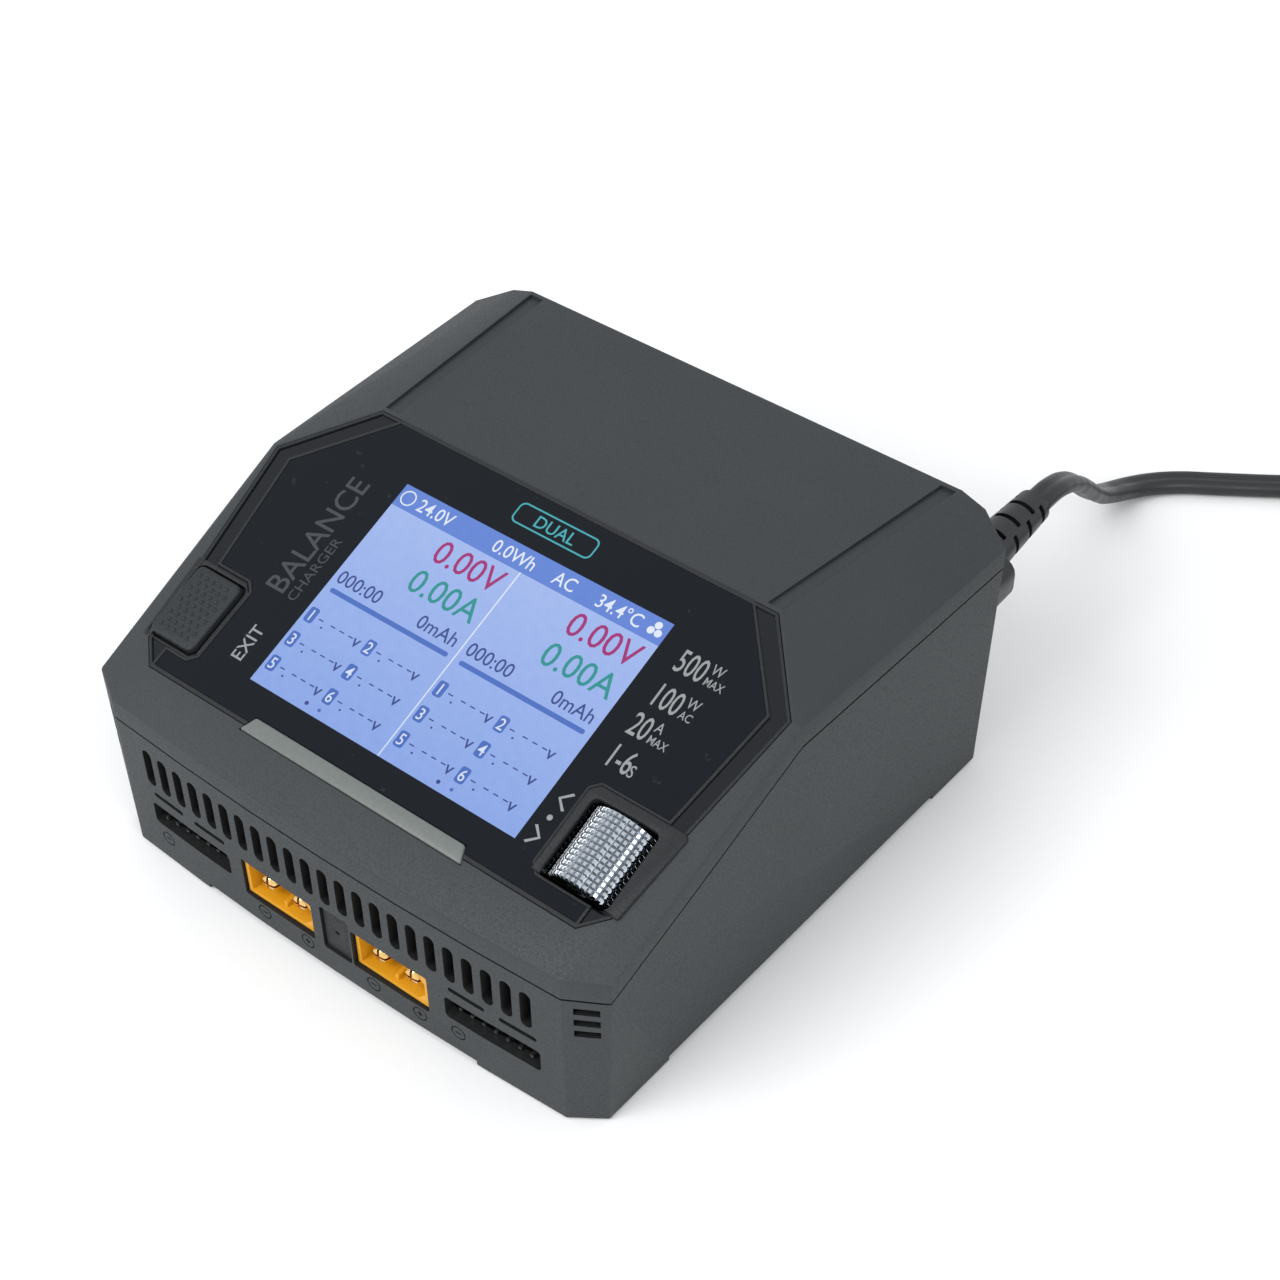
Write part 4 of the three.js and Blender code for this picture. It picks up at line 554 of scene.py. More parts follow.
PLUS_SIGN = (
    (-0.15, -0.6),
    (0.15, -0.6),
    (0.15, -0.15),
    (0.6, -0.15),
    (0.6, 0.15),
    (0.15, 0.15),
    (0.15, 0.6),
    (-0.15, 0.6),
    (-0.15, 0.15),
    (-0.6, 0.15),
    (-0.6, -0.15),
    (-0.15, -0.15),
)
PLUS_PLACES = (-6.0, 19.1)


def geometry_tree(name, sizes):
    """A Geometry Nodes tree with named inputs, and its input and output nodes."""
    tree = bpy.data.node_groups.new(name, "GeometryNodeTree")
    tree.interface.new_socket("Geometry", in_out="OUTPUT", socket_type="NodeSocketGeometry")
    for label, kind in sizes.items():
        tree.interface.new_socket(label, in_out="INPUT", socket_type=kind)
    return tree, add(tree, "NodeGroupInput").outputs, add(tree, "NodeGroupOutput")


def grown(name, tree, sizes):
    """An object made by a tree with the given sizes, as a plain mesh."""
    piece = new_object(name, bpy.data.meshes.new(name))
    nodes = piece.modifiers.new("nodes", "NODES")
    nodes.node_group = tree
    for item in tree.interface.items_tree:
        if item.in_out == "INPUT":
            nodes[item.identifier] = sizes[item.name]
    return settle(piece)


def slot_row_tree(material):
    """Round-ended slots side by side: each is the hull of two cylinders, standing in X and Z."""
    kinds = {"Count": "NodeSocketInt"}
    kinds.update({label: "NodeSocketFloat" for label in ("Pitch", "Width", "Height", "Depth")})
    tree, sizes, output = geometry_tree("slot_row", kinds)
    half = add(tree, "ShaderNodeMath", {0: sizes["Width"], 1: 0.5}, operation="MULTIPLY")
    straight = add(tree, "ShaderNodeMath", {0: sizes["Height"], 1: sizes["Width"]}, operation="SUBTRACT")
    rod = add(
        tree,
        "GeometryNodeMeshCylinder",
        {"Vertices": 20, "Radius": half.outputs[0], "Depth": sizes["Depth"]},
    )
    upright = Euler((math.pi / 2, 0, 0))
    ends = add(tree, "GeometryNodeJoinGeometry")
    for way in (-0.5, 0.5):
        lift = add(tree, "ShaderNodeMath", {0: straight.outputs[0], 1: way}, operation="MULTIPLY")
        at = add(tree, "ShaderNodeCombineXYZ", {"Z": lift.outputs[0]})
        inputs = {"Geometry": rod.outputs["Mesh"], "Translation": at.outputs[0], "Rotation": upright}
        end = add(tree, "GeometryNodeTransform", inputs)
        tree.links.new(end.outputs[0], ends.inputs[0])
    slot = add(tree, "GeometryNodeConvexHull", {"Geometry": ends.outputs[0]})
    step = add(tree, "ShaderNodeCombineXYZ", {"X": sizes["Pitch"]})
    spread = {"Count": sizes["Count"], "Offset": step.outputs[0]}
    line = add(tree, "GeometryNodeMeshLine", spread, mode="OFFSET")
    row = add(tree, "GeometryNodeInstanceOnPoints", {"Points": line.outputs[0], "Instance": slot.outputs[0]})
    solid = add(tree, "GeometryNodeRealizeInstances", {"Geometry": row.outputs[0]})
    finish = add(tree, "GeometryNodeSetMaterial", {"Geometry": solid.outputs[0], "Material": material})
    tree.links.new(finish.outputs[0], output.inputs[0])
    return tree


def gather(name, pieces, material=None):
    """Joins pieces that don't meet into one object."""
    body = bmesh.new()
    for piece in pieces:
        body.from_mesh(piece.data)
        bpy.data.objects.remove(piece)
    mesh = bpy.data.meshes.new(name)
    body.to_mesh(mesh)
    body.free()
    return new_object(name, mesh, material)


def block(name, x, y, z):
    """A closed box between two places in each direction."""
    return prism(name, [(x[0], y[0]), (x[1], y[0]), (x[1], y[1]), (x[0], y[1])], z[0], z[1], FROM_TOP)


def rod(name, radius, x, y, z, sides=28):
    """An upright cylinder between two heights."""
    outline = [
        (x + radius * math.cos(2 * math.pi * i / sides), y + radius * math.sin(2 * math.pi * i / sides))
        for i in range(sides)
    ]
    return prism(name, outline, z[0], z[1], FROM_TOP)


def disc_outline(radius, x, z, steps=8):
    """A circle, as a rectangle that is all corners."""
    return rounded_outline(2 * radius, 2 * radius, radius - ROUND_LEFT, x, z, steps)


# The slot walls take the painted-shade plastic.
slot_rows = slot_row_tree(shaded_plastic)


def slot_row(count, pitch, width, height, depth):
    """A row of slots that starts at the origin."""
    sizes = {"Pitch": pitch, "Width": width, "Height": height, "Depth": depth}
    return grown("slots", slot_rows, {"Count": count, **{label: size * MM for label, size in sizes.items()}})


openings = []
first_vent, first_intake = (-(row["count"] - 1) / 2 * row["pitch"] for row in (VENT, INTAKE))
openings.append(shifted(slot_row(**VENT), x=first_vent, z=VENT_MIDDLE))
openings.append(shifted(slot_row(**REAR_VENT), x=REAR_VENT_START[0], y=DEPTH, z=REAR_VENT_START[1]))
intake = slot_row(**INTAKE)
intake.data.transform(Matrix.Rotation(math.pi / 2, 4, "X"))
openings.append(shifted(intake, x=first_intake, y=DEPTH / 2))
for x in CHARGE_SOCKET_X:
    width, height = (size + 2 * FIT for size in CHARGE_SOCKET_SIZE)
    mouth = rounded_outline(width, height, 0.4, x, CHARGE_SOCKET_MIDDLE)
    openings.append(prism("mouth", mouth, *THROUGH, FROM_FRONT))
for x in BALANCE_SLOT_X:
    mouth = rounded_outline(*BALANCE_SLOT, 0.8, x, BALANCE_SLOT_MIDDLE)
    openings.append(prism("mouth", mouth, *THROUGH, FROM_FRONT))
    for offset in SLIT_OFFSETS:
        mouth = rounded_outline(*SLIT, 0.45, x + offset, SLIT_HEIGHT)
        openings.append(prism("slit", mouth, *THROUGH, FROM_FRONT))
openings.append(prism("plate_hole", rounded_outline(*PLATE_HOLE, 0.6, *PLATE_MIDDLE), *THROUGH, FROM_FRONT))
for side in (-1, 1):
    for z in CORNER_VENT_HEIGHTS:
        half, high = CORNER_VENT[0] / 2, CORNER_VENT[1] / 2
        vent = block("corner_vent", (-half, half), (-4, 4), (-high, high))
        vent.data.transform(Matrix.Rotation(side * math.atan2(FRONT_CORNER[1], FRONT_CORNER[0]), 4, "Z"))
        at_corner = side * (FACE_HALF + FRONT_CORNER[0] / 2)
        openings.append(shifted(vent, x=at_corner, y=FRONT_BOW + FRONT_CORNER[1] / 2, z=z))
inlet_outline = rounded_outline(*INLET_HOLE, 2, *INLET_MIDDLE)
openings.append(prism("inlet_hole", inlet_outline, *REAR_THROUGH, FROM_FRONT))
grille_pitch = 2 * FAN_BORE / GRILLE_BARS
for i in range(GRILLE_BARS):
    offset = (i - (GRILLE_BARS - 1) / 2) * grille_pitch
    chord = 2 * math.sqrt(FAN_BORE**2 - offset**2) - 1
    gap = rounded_outline(chord, grille_pitch - GRILLE_BAR, 1, FAN_MIDDLE[0], FAN_MIDDLE[1] + offset)
    openings.append(prism("grille_gap", gap, *REAR_THROUGH, FROM_FRONT))
for x, y in POST_PLACES:
    openings.append(rod("screw_well", SCREW_WELL, x, y, (-1, UNDERSIDE + 2.3)))
for x, z in MARK_PLACES:
    core, ring = (disc_outline(radius, x, z) for radius in MARK_RADII)
    face = FRONT_BOW * (x / FACE_HALF) ** 2
    mark = prism("mark", ring, -3, face + MARK_DEPTH, FROM_FRONT)
    combine(mark, prism("core", core, -4, 4, FROM_FRONT), "DIFFERENCE")
    openings.append(mark)
    sign = PLUS_SIGN if x in PLUS_PLACES else MINUS_SIGN
    sign_outline = [(x + u, z + v) for u, v in sign]
    openings.append(prism("sign", sign_outline, -3, face + MARK_DEPTH, FROM_FRONT))
arches = [
    block("arch", (-80, 80), (FOOT_LENGTH, DEPTH - FOOT_LENGTH + 4), (-1, UNDERSIDE)),
    block("arch", (-FACE_HALF + FOOT_WIDTH, FACE_HALF - FOOT_WIDTH), (-20, 140), (-1, UNDERSIDE)),
]
for arch in arches:
    combine(lower_case, from_front(arch), "DIFFERENCE")
# Every opening cutter carries the painted-shade plastic, so the walls of the slots, socket mouths, wells and
# engraved marks are painted near-black as shade.
all_openings = gather("openings", openings, shaded_plastic)
combine(lower_case, from_front(all_openings), "DIFFERENCE")
for x, y in PAD_PLACES:
    seat = rod("pad_seat", PAD_SEAT, x, y, (-1, 1.3))
    combine(lower_case, from_front(seat), "DIFFERENCE")


# Openings in the cover
# The display panel drops into a seat with a thin ledge, and two shallow channels run back over the
# roof from its upper corners.

TILT = math.radians(20.45)
PANEL_PLACE = place(0, 8.3, 38.85)
PANEL_OUTLINE = (
    (-46.4, 0.0),
    (46.4, 0.0),
    (50.5, 4.3),
    (55.62, 45.6),
    (42.67, 60.9),
    (-42.67, 60.9),
    (-55.62, 45.6),
    (-50.5, 4.3),
)
SEAT_FLOOR = -1.8
CHANNEL_WIDTH = 3.0
CHANNEL_SINK = 0.6
CHANNEL_FRONT = (42.67, 66.0, 60.12)
CHANNEL_REAR = (47.0, 110.3, 57.12)
LIGHT_BAR = {"low": 47.8, "high": 45.0, "bottom": -0.4, "top": 2.3, "rise": 0.3, "thickness": 2.4}


def offset_outline(points, distance):
    """An anticlockwise outline drawn in by a distance, with mitred corners."""
    moved = []
    for i, point in enumerate(points):
        here = Vector(point)
        before = (here - Vector(points[i - 1])).normalized()
        after = (Vector(points[(i + 1) % len(points)]) - here).normalized()
        inward = Vector((-before.y, before.x))
        mitre = (inward + Vector((-after.y, after.x))).normalized()
        moved.append(tuple(here + mitre * distance / max(mitre.dot(inward), 0.3)))
    return moved


def on_panel(piece):
    """Lays a piece made at the origin on the sloping panel."""
    piece.data.transform(Matrix.Translation(PANEL_PLACE) @ Matrix.Rotation(TILT, 4, "X"))
    return piece


def hull_solid(name, points):
    """The convex hull of a few points in millimetres."""
    body = bmesh.new()
    for point in points:
        body.verts.new(Vector(point) * MM)
    bmesh.ops.convex_hull(body, input=body.verts)
    return new_object(name, mesh_of(name, body))


def light_bar_outline(grow):
    low, high = LIGHT_BAR["low"] / 2 + grow, LIGHT_BAR["high"] / 2 + grow
    bottom, top = LIGHT_BAR["bottom"] - grow, LIGHT_BAR["top"] + grow
    return [(-low, bottom), (low, bottom), (high, top), (-high, top)]


cuts = [
    prism("seat", offset_outline(PANEL_OUTLINE, FIT), SEAT_FLOOR, 8, FROM_TOP),
    prism("window", offset_outline(PANEL_OUTLINE, 3.0), -9, 8, FROM_TOP),
    block("wheel_room", (33.6, 48.8), (3.4, 21.6), (-4, 1)),
    block("key_room", (-50.4, -39.8), (4.6, 21.3), (-4, 1)),
    prism("light_bar_room", light_bar_outline(FIT), -2.4, 8, FROM_TOP),
]
for tool in cuts:
    combine(upper_cover, on_panel(tool), "DIFFERENCE")
for side in (-1, 1):
    corners = []
    for x, y, z in (CHANNEL_FRONT, CHANNEL_REAR):
        for across in (x - CHANNEL_WIDTH, x):
            for height in (z - CHANNEL_SINK, z + 3):
                corners.append((side * across, y, height))
    channel = hull_solid("channel", corners)
    combine(upper_cover, from_front(channel), "DIFFERENCE")
for piece in (upper_cover, lower_case):
    shade(piece)


# Charge sockets
# Two power connectors in amber nylon, square outside and with two cut corners in the cavity, each with two
# split gold-plated pins; they are soldered to the board and look out through the front wall.

SOCKET_CORNER = 2.4
CORNER_EASE = 0.6  # how much a cut corner shrinks for each millimetre of inset
SOCKET_LIP = 0.8
SOCKET_FRONT = 0.85
SOCKET_BACK = 18.6
SOCKET_FLOOR = 12.1
SOCKET_ROUNDING = 0.22
BORE_RADIUS = 2.05
RIB = (0.8, 1.6)
RIB_DROP = 3.0
RIB_SET_BACK = 0.8
PIN_RADIUS = 1.75
PIN_SPACING = 7.2
PIN_TIP = 1.4
PIN_SLOT = 0.5
SLOT_LENGTH = 4.0
# Each pin's radius at distances behind its tip; it runs on into the back of the housing
PIN_PROFILE = (
    (0.75, 0.0),
    (1.35, 0.15),
    (1.62, 0.5),
    (PIN_RADIUS, 1.2),
    (PIN_RADIUS, 4.6),
    (1.6, 5.2),
    (1.6, SOCKET_BACK - PIN_TIP),
)


def socket_outline(inset, x, z):
    """The keyed outline of a socket's cavity, with two corners cut at one end."""
    half, high = (size / 2 - inset for size in CHARGE_SOCKET_SIZE)
    corner = SOCKET_CORNER - inset * CORNER_EASE
    return [
        (x - half, z - high),
        (x + half - corner, z - high),
        (x + half, z - high + corner),
        (x + half, z + high - corner),
        (x + half - corner, z + high),
        (x - half, z + high),
    ]


def turned(name, profile, at, axes, sides=32):
    """A body turned from a profile of radius and distance along its axis."""
    body = bmesh.new()
    rings = []
    for radius, along in profile:
        ring = []
        for i in range(sides):
            angle = 2 * math.pi * i / sides
            spoke = Vector((radius * math.cos(angle), radius * math.sin(angle), along))
            ring.append(body.verts.new((Vector(at) + axes @ spoke) * MM))
        rings.append(ring)
    skin(body, rings)
    return new_object(name, mesh_of(name, body))


def stands_for(piece, body, slot, *nodes):
    """Says which body a piece moves with, and which CAD pieces it is the looks of."""
    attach(piece, body)
    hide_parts(*nodes)
    return piece


def moulded_nylon(name, hex_colour, dark_hex, roughness):
    """Injection-moulded nylon: satin, with faint flow clouds a few millimetres across."""
    material, tree, shader = new_material(name, hex_colour, roughness, ior=1.53)
    flow = mottle(tree, 3.12, 4.0)
    tree.links.new(blend(tree, flow, dark_hex, hex_colour), shader.inputs["Base Color"])
    emboss(tree, shader, flow, 0.2, 0.04)
    return material


def plated_metal(name, hex_colour, roughness):
    """Plated or turned metal: bright, with fine tool marks that spread its highlights."""
    material, tree, shader = new_material(name, hex_colour, roughness, metallic=1.0)
    vary_roughness(tree, shader, mottle(tree, 0.455, 2.0), roughness * 0.7, roughness * 1.4)
    return material


amber_nylon = moulded_nylon("moulded_amber_nylon", "#DC9C12", "#C68A08", 0.42)
gold_plate = plated_metal("gold_plated_brass", "#F0CC84", 0.2)
for side, x in zip(("left", "right"), CHARGE_SOCKET_X):
    outer = rounded_outline(*CHARGE_SOCKET_SIZE, 0.3, x, CHARGE_SOCKET_MIDDLE)
    inner = socket_outline(SOCKET_LIP, x, CHARGE_SOCKET_MIDDLE)
    housing = prism(f"power_socket_{side}", outer, SOCKET_FRONT, SOCKET_BACK, FROM_FRONT)
    cavity = prism("cavity", inner, -2, SOCKET_FLOOR, FROM_FRONT)
    combine(housing, cavity, "DIFFERENCE")
    # a low rib stands on the floor between the two pins
    rib_outline = rounded_outline(*RIB, 0.1, x, CHARGE_SOCKET_MIDDLE - RIB_DROP)
    rib = prism("rib", rib_outline, SOCKET_FRONT + RIB_SET_BACK, SOCKET_FLOOR + 1, FROM_FRONT)
    combine(housing, rib, "UNION")
    pin_places = [(x + way * PIN_SPACING / 2, 0, CHARGE_SOCKET_MIDDLE) for way in (-1, 1)]
    for at in pin_places:
        ends = [(BORE_RADIUS, SOCKET_FLOOR - 1), (BORE_RADIUS, SOCKET_BACK + 1)]
        combine(housing, turned("bore", ends, at, FROM_FRONT), "DIFFERENCE")
    bevel(housing, SOCKET_ROUNDING, 2, angle=30)
    paint(from_front(housing), amber_nylon)
    stands_for(shade(housing), "charger", "amber_nylon", f"charge_socket_{side}")
    for at, pin_side in zip(pin_places, ("left", "right")):
        profile = [(radius, PIN_TIP + along) for radius, along in PIN_PROFILE]
        contact = turned(f"gold_pin_{side}_{pin_side}", profile, at, FROM_FRONT)
        for wide, high in ((PIN_SLOT, SLOT_LENGTH), (SLOT_LENGTH, PIN_SLOT)):
            slit_outline = rounded_outline(wide, high, ROUND_LEFT, at[0], at[2], 1)
            slit = prism("slit", slit_outline, PIN_TIP - 1, PIN_TIP + SLOT_LENGTH, FROM_FRONT)
            combine(contact, slit, "DIFFERENCE")
        paint(from_front(contact), gold_plate)
        stands_for(shade(contact), "charger", "gold_plate", f"charge_socket_{side}_pin_{pin_side}")


# Display bezel
# A dark gloss frame in moulded ABS: thin raised ridges run round its edge, round the glass and
# round the key and the scroll wheel.

BEZEL_FACE = -0.3
RIDGE_WIDTH = 0.55
RIDGE_TOP = 0.15
GLASS_OUTLINE = (
    (-45.7, 1.2),
    (45.7, 1.2),
    (45.7, 4.1),
    (35.3, 4.1),
    (33.6, 5.8),
    (33.6, 20.5),
    (35.3, 22.2),
    (48.42, 22.2),
    (51.18, 44.5),
    (37.47, 60.2),
    (-37.47, 60.2),
    (-51.18, 44.5),
    (-48.41, 22.15),
    (-41.2, 22.15),
    (-39.5, 20.45),
    (-39.5, 6.05),
    (-41.2, 4.35),
    (-45.7, 4.35),
)
WHEEL_X = 42.32
WHEEL_UP = 12.15
KEY_X = -46.02
KEY_UP = 12.95
KEY_SIZE = (10.0, 14.2)
WHEEL_FRAME = ((34.2, 4.7), (51.2, 4.7), (52.9, 20.9), (52.2, 21.6), (35.7, 21.6), (34.2, 20.1))
WHEEL_FRAME_TOP = 0.5
WHEEL_WINDOW = (12.9, 14.6)
KEY_WINDOW = (11.0, 15.2)


def ridge(name, outline, width, low, high, chamfer=0.12):
    """A closed raised line: its outer side follows the outline."""
    body = bmesh.new()
    rings = []
    for inset, level in (
        (0, low),
        (0, high - chamfer),
        (chamfer, high),
        (width - chamfer, high),
        (width, high - chamfer),
        (width, low),
    ):
        rings.append([body.verts.new(Vector((u, v, level)) * MM) for u, v in offset_outline(outline, inset)])
    skin(body, [*rings, rings[0]], ends=False)
    return new_object(name, mesh_of(name, body))


def polished_abs(name, hex_colour):
    """Moulded ABS from a polished tool: deep gloss with a slight waviness."""
    material, tree, shader = new_material(name, hex_colour, 0.12)
    shader.inputs["Specular IOR Level"].default_value = 0.35
    emboss(tree, shader, mottle(tree, 11.1, 1.0), 0.06, 0.1)
    vary_roughness(tree, shader, mottle(tree, 0.667, 2.0), 0.08, 0.2)
    return material


bezel_gloss = polished_abs("polished_black_ABS", "#080D12")
frame_plastic = spark_plastic("spark_eroded_dark_ABS", "#0B0F13", "#101418")
THROUGH_PLATE = (-3, 3)
bezel = prism("bezel_plate", offset_outline(PANEL_OUTLINE, 0.6), -1.5, BEZEL_FACE, FROM_TOP)
key_window = rounded_outline(*KEY_WINDOW, 1, KEY_X, KEY_UP)
wheel_window = rounded_outline(*WHEEL_WINDOW, 1, WHEEL_X, WHEEL_UP)
for room in (GLASS_OUTLINE, light_bar_outline(FIT), wheel_window, key_window):
    combine(bezel, prism("room", room, *THROUGH_PLATE, FROM_TOP), "DIFFERENCE")
paint(bezel, bezel_gloss)
stands_for(on_panel(shade(bezel)), "charger", "bezel_gloss", "bezel_frame")

RIDGE_FOOT = -0.6
ridges = ridge("bezel_ridges", offset_outline(PANEL_OUTLINE, 0.45), RIDGE_WIDTH, RIDGE_FOOT, RIDGE_TOP)
glass_edge = offset_outline(GLASS_OUTLINE, -RIDGE_WIDTH)
# a little lower at both ends, so that no two faces of the joined ridges lie together
glass_ridge = ridge("glass_ridge", glass_edge, RIDGE_WIDTH, RIDGE_FOOT - 0.1, RIDGE_TOP - 0.02)
combine(ridges, glass_ridge, "UNION")
for room in (light_bar_outline(FIT), key_window):
    combine(ridges, prism("room", room, *THROUGH_PLATE, FROM_TOP), "DIFFERENCE")
paint(ridges, frame_plastic)
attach(on_panel(shade(ridges)), "charger")

wheel_frame = prism("wheel_surround", WHEEL_FRAME, -1.2, WHEEL_FRAME_TOP, FROM_TOP)
well = rounded_outline(WHEEL_WINDOW[0] + 0.1, WHEEL_WINDOW[1] + 0.1, 1.2, WHEEL_X, WHEEL_UP)
combine(wheel_frame, prism("well", well, *THROUGH_PLATE, FROM_TOP), "DIFFERENCE")
bevel(wheel_frame, 0.35, 3, angle=30)
paint(wheel_frame, frame_plastic)
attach(on_panel(shade(wheel_frame)), "charger")

KEY_FRAME = ((-51.9, 4.9), (-41.5, 4.9), (-40.0, 6.4), (-40.0, 19.9), (-41.5, 21.4), (-53.0, 21.4))
key_frame = prism("key_surround", KEY_FRAME, -1.2, 0.0, FROM_TOP)
well = rounded_outline(KEY_WINDOW[0], KEY_WINDOW[1], 1.2, KEY_X, KEY_UP)
combine(key_frame, prism("well", well, -3, 3, FROM_TOP), "DIFFERENCE")
bevel(key_frame, 0.2, 2, angle=30)
paint(key_frame, frame_plastic)
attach(on_panel(shade(key_frame)), "charger")


# Display glass and screen
# Black-printed cover glass, bonded over a lit colour display that shows both channels' readings.

GLASS_TOP = -0.1
SCREEN_HALF = 28.75
SCREEN_LOW = 7.47
SCREEN_HIGH = 50.7
HEADER_HEIGHT = 4.5


def printed_glass(name):
    """Chemically hardened glass, printed black behind: mirror-smooth, with a few dust specks."""
    material, tree, shader = new_material(name, "#030A12", 0.06, ior=1.52)
    shader.inputs["Specular IOR Level"].default_value = 0.22  # coated against glare
    dust = mottle(tree, 2.38, 2.0)
    speck = add(tree, "ShaderNodeMapRange", {"Value": dust, "From Min": 0.72, "From Max": 0.78})
    tone = blend(tree, speck.outputs["Result"], "#030A12", "#20262B")
    tree.links.new(tone, shader.inputs["Base Color"])
    vary_roughness(tree, shader, dust, 0.03, 0.12)
    return material


def lit_screen(name, low_hex, high_hex):
    """A backlit panel behind glass: even light with a weak mottle, a little brighter to the rear."""
    material, tree, shader = new_material(name, "#05070B", 0.15, ior=1.52)
    where = add(tree, "ShaderNodeTexCoord")
    spread = add(tree, "ShaderNodeSeparateXYZ", {"Vector": where.outputs["Object"]})
    drift = add(
        tree,
        "ShaderNodeMapRange",
        {"Value": spread.outputs["Y"], "From Min": -40 * MM, "From Max": 0.0, "To Min": 0.0, "To Max": 0.8},
    )
    cloud = add(tree, "ShaderNodeMath", {0: mottle(tree, 1.43, 3.0), 1: 0.4}, operation="MULTIPLY")
    level = add(tree, "ShaderNodeMath", {0: drift.outputs["Result"], 1: cloud.outputs[0]}, operation="ADD")
    tone = blend(tree, level.outputs[0], low_hex, high_hex)
    tree.links.new(tone, shader.inputs["Emission Color"])
    shader.inputs["Emission Strength"].default_value = 0.95
    return material


glass = prism("cover_glass", offset_outline(GLASS_OUTLINE, 0.08), -1.2, GLASS_TOP, FROM_TOP)
for tool in (
    block("screen_room", (-SCREEN_HALF, SCREEN_HALF), (SCREEN_LOW, SCREEN_HIGH), (-3, 3)),
    prism("light_bar_room", light_bar_outline(FIT), -3, 3, FROM_TOP),
):
    combine(glass, tool, "DIFFERENCE")
paint(glass, printed_glass("black_printed_glass"))
stands_for(on_panel(shade(glass)), "charger", "panel_glass", "display_glass")


def screen_piece(name, pieces, material):
    """Joins flat screen shapes into one piece on the panel."""
    piece = gather(name, pieces, material)
    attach(on_panel(piece), "charger")
    return piece


def flat_shape(outline, level, thickness=0.02):
    """A shape cut from thin film, from a level on the panel up."""
    return prism("shape", outline, level, level + thickness, FROM_TOP)


def dot(size, x, up, level, steps=8):
    """A round dot of film."""
    return flat_shape(rounded_outline(size, size, size / 2 - ROUND_LEFT, x, up, steps), level)


def box_outline(x, width, up, height):
    """A rectangle from its lower left corner."""
    return [(x, up), (x + width, up), (x + width, up + height), (x, up + height)]


LETTER_CAP = 0.7  # a capital's height over the letter size


def lettering(text, cap_height, x, up, level, align="LEFT", turn_by=0.0, weight=0.0, squeeze=1.0):
    """Flat letters whose middle height is at the place given."""
    curve = bpy.data.curves.new("letters", "FONT")
    curve.body = text
    curve.size = cap_height / LETTER_CAP
    curve.align_x = align
    curve.resolution_u = 3
    curve.extrude = 0.01
    curve.offset = weight
    writing = new_object("letters", curve)
    graph = bpy.context.evaluated_depsgraph_get()
    mesh = bpy.data.meshes.new_from_object(writing.evaluated_get(graph))
    bpy.data.objects.remove(writing)
    letters = new_object("letters", mesh)
    turn_letters = Matrix.Rotation(turn_by, 4, "Z") @ Matrix.Diagonal((squeeze, 1, 1, 1))
    lower = Matrix.Translation((0, -cap_height / 2, 0))
    move = Matrix.Translation(Vector((x, up, level)))
    mesh.transform(Matrix.Diagonal((MM, MM, MM, 1)) @ move @ turn_letters @ lower)
    return letters


SCREEN_LEVEL = -0.4
HEADER_LEVEL = -0.115
TEXT_LEVEL = -0.08
header_low = SCREEN_HIGH - HEADER_HEIGHT
whole = box_outline(-SCREEN_HALF, 2 * SCREEN_HALF, SCREEN_LOW, SCREEN_HIGH - SCREEN_LOW)
lit_display = lit_screen("backlit_display", "#80A0E4", "#A4BBF0")
screen_piece("screen", [flat_shape(whole, SCREEN_LEVEL, 0.28)], lit_display)
band = box_outline(-SCREEN_HALF, 2 * SCREEN_HALF, header_low, HEADER_HEIGHT)
lit_header = lit_screen("backlit_header", "#4468C4", "#5F83D6")
screen_piece("screen_header", [flat_shape(band, HEADER_LEVEL, 0.01)], lit_header)

HEADER_TEXTS = (("24.0V", -24.3), ("0.0Wh", -7.5), ("AC", 5.6), ("34.4°C", 14.6))
HEADER_TEXT_SIZE = 2.5
ON_SIGN = {"x": -26.7, "outer": 3.0, "inner": 2.5}
FAN_SIGN = {"x": 26.6, "petals": 3, "petal": 1.35, "reach": 0.85}
MARGIN = 1.6
BIG_TEXT_SIZE = 4.5
VOLTS_UP = 42.9
AMPS_UP = 36.4
SMALL_TEXT_SIZE = 2.6
COUNTS_UP = 30.6
BAR_UP = 27.7
BAR_HEIGHT = 0.9
CELLS = {"columns": 2, "rows": 3, "column_pitch": 13.0, "row_pitch": 5.2, "first_up": 22.2}
CELL_BOX = (1.9, 3.0)
CELL_TEXT_SIZE = 2.1
DASHES = {"count": 4, "start": 1.7, "pitch": 2.0, "after_first": 0.7, "length": 1.0, "height": 0.22}
PAGE_DOTS_UP = 8.9
DIVIDER = 0.24


def channel_readings(left, middle):
    """One channel's two large readings, its two small ones and its progress bar."""
    right = left + SCREEN_HALF - MARGIN
    large = {"align": "RIGHT", "weight": 0.015, "squeeze": 0.95}
    small = {"weight": 0.01, "squeeze": 0.95}
    magenta_ink.append(lettering("0.00V", BIG_TEXT_SIZE, right, VOLTS_UP, TEXT_LEVEL, **large))
    teal_ink.append(lettering("0.00A", BIG_TEXT_SIZE, right, AMPS_UP, TEXT_LEVEL, **large))
    navy_ink.append(lettering("000:00", SMALL_TEXT_SIZE, left + 0.9, COUNTS_UP, TEXT_LEVEL, **small))
    counted = right + 0.3
    navy_ink.append(lettering("0mAh", SMALL_TEXT_SIZE, counted, COUNTS_UP, TEXT_LEVEL, "RIGHT", **small))
    bar = rounded_outline(SCREEN_HALF - MARGIN - 1, BAR_HEIGHT, BAR_HEIGHT / 2 - ROUND_LEFT, middle, BAR_UP)
    blue_ink.append(flat_shape(bar, TEXT_LEVEL))


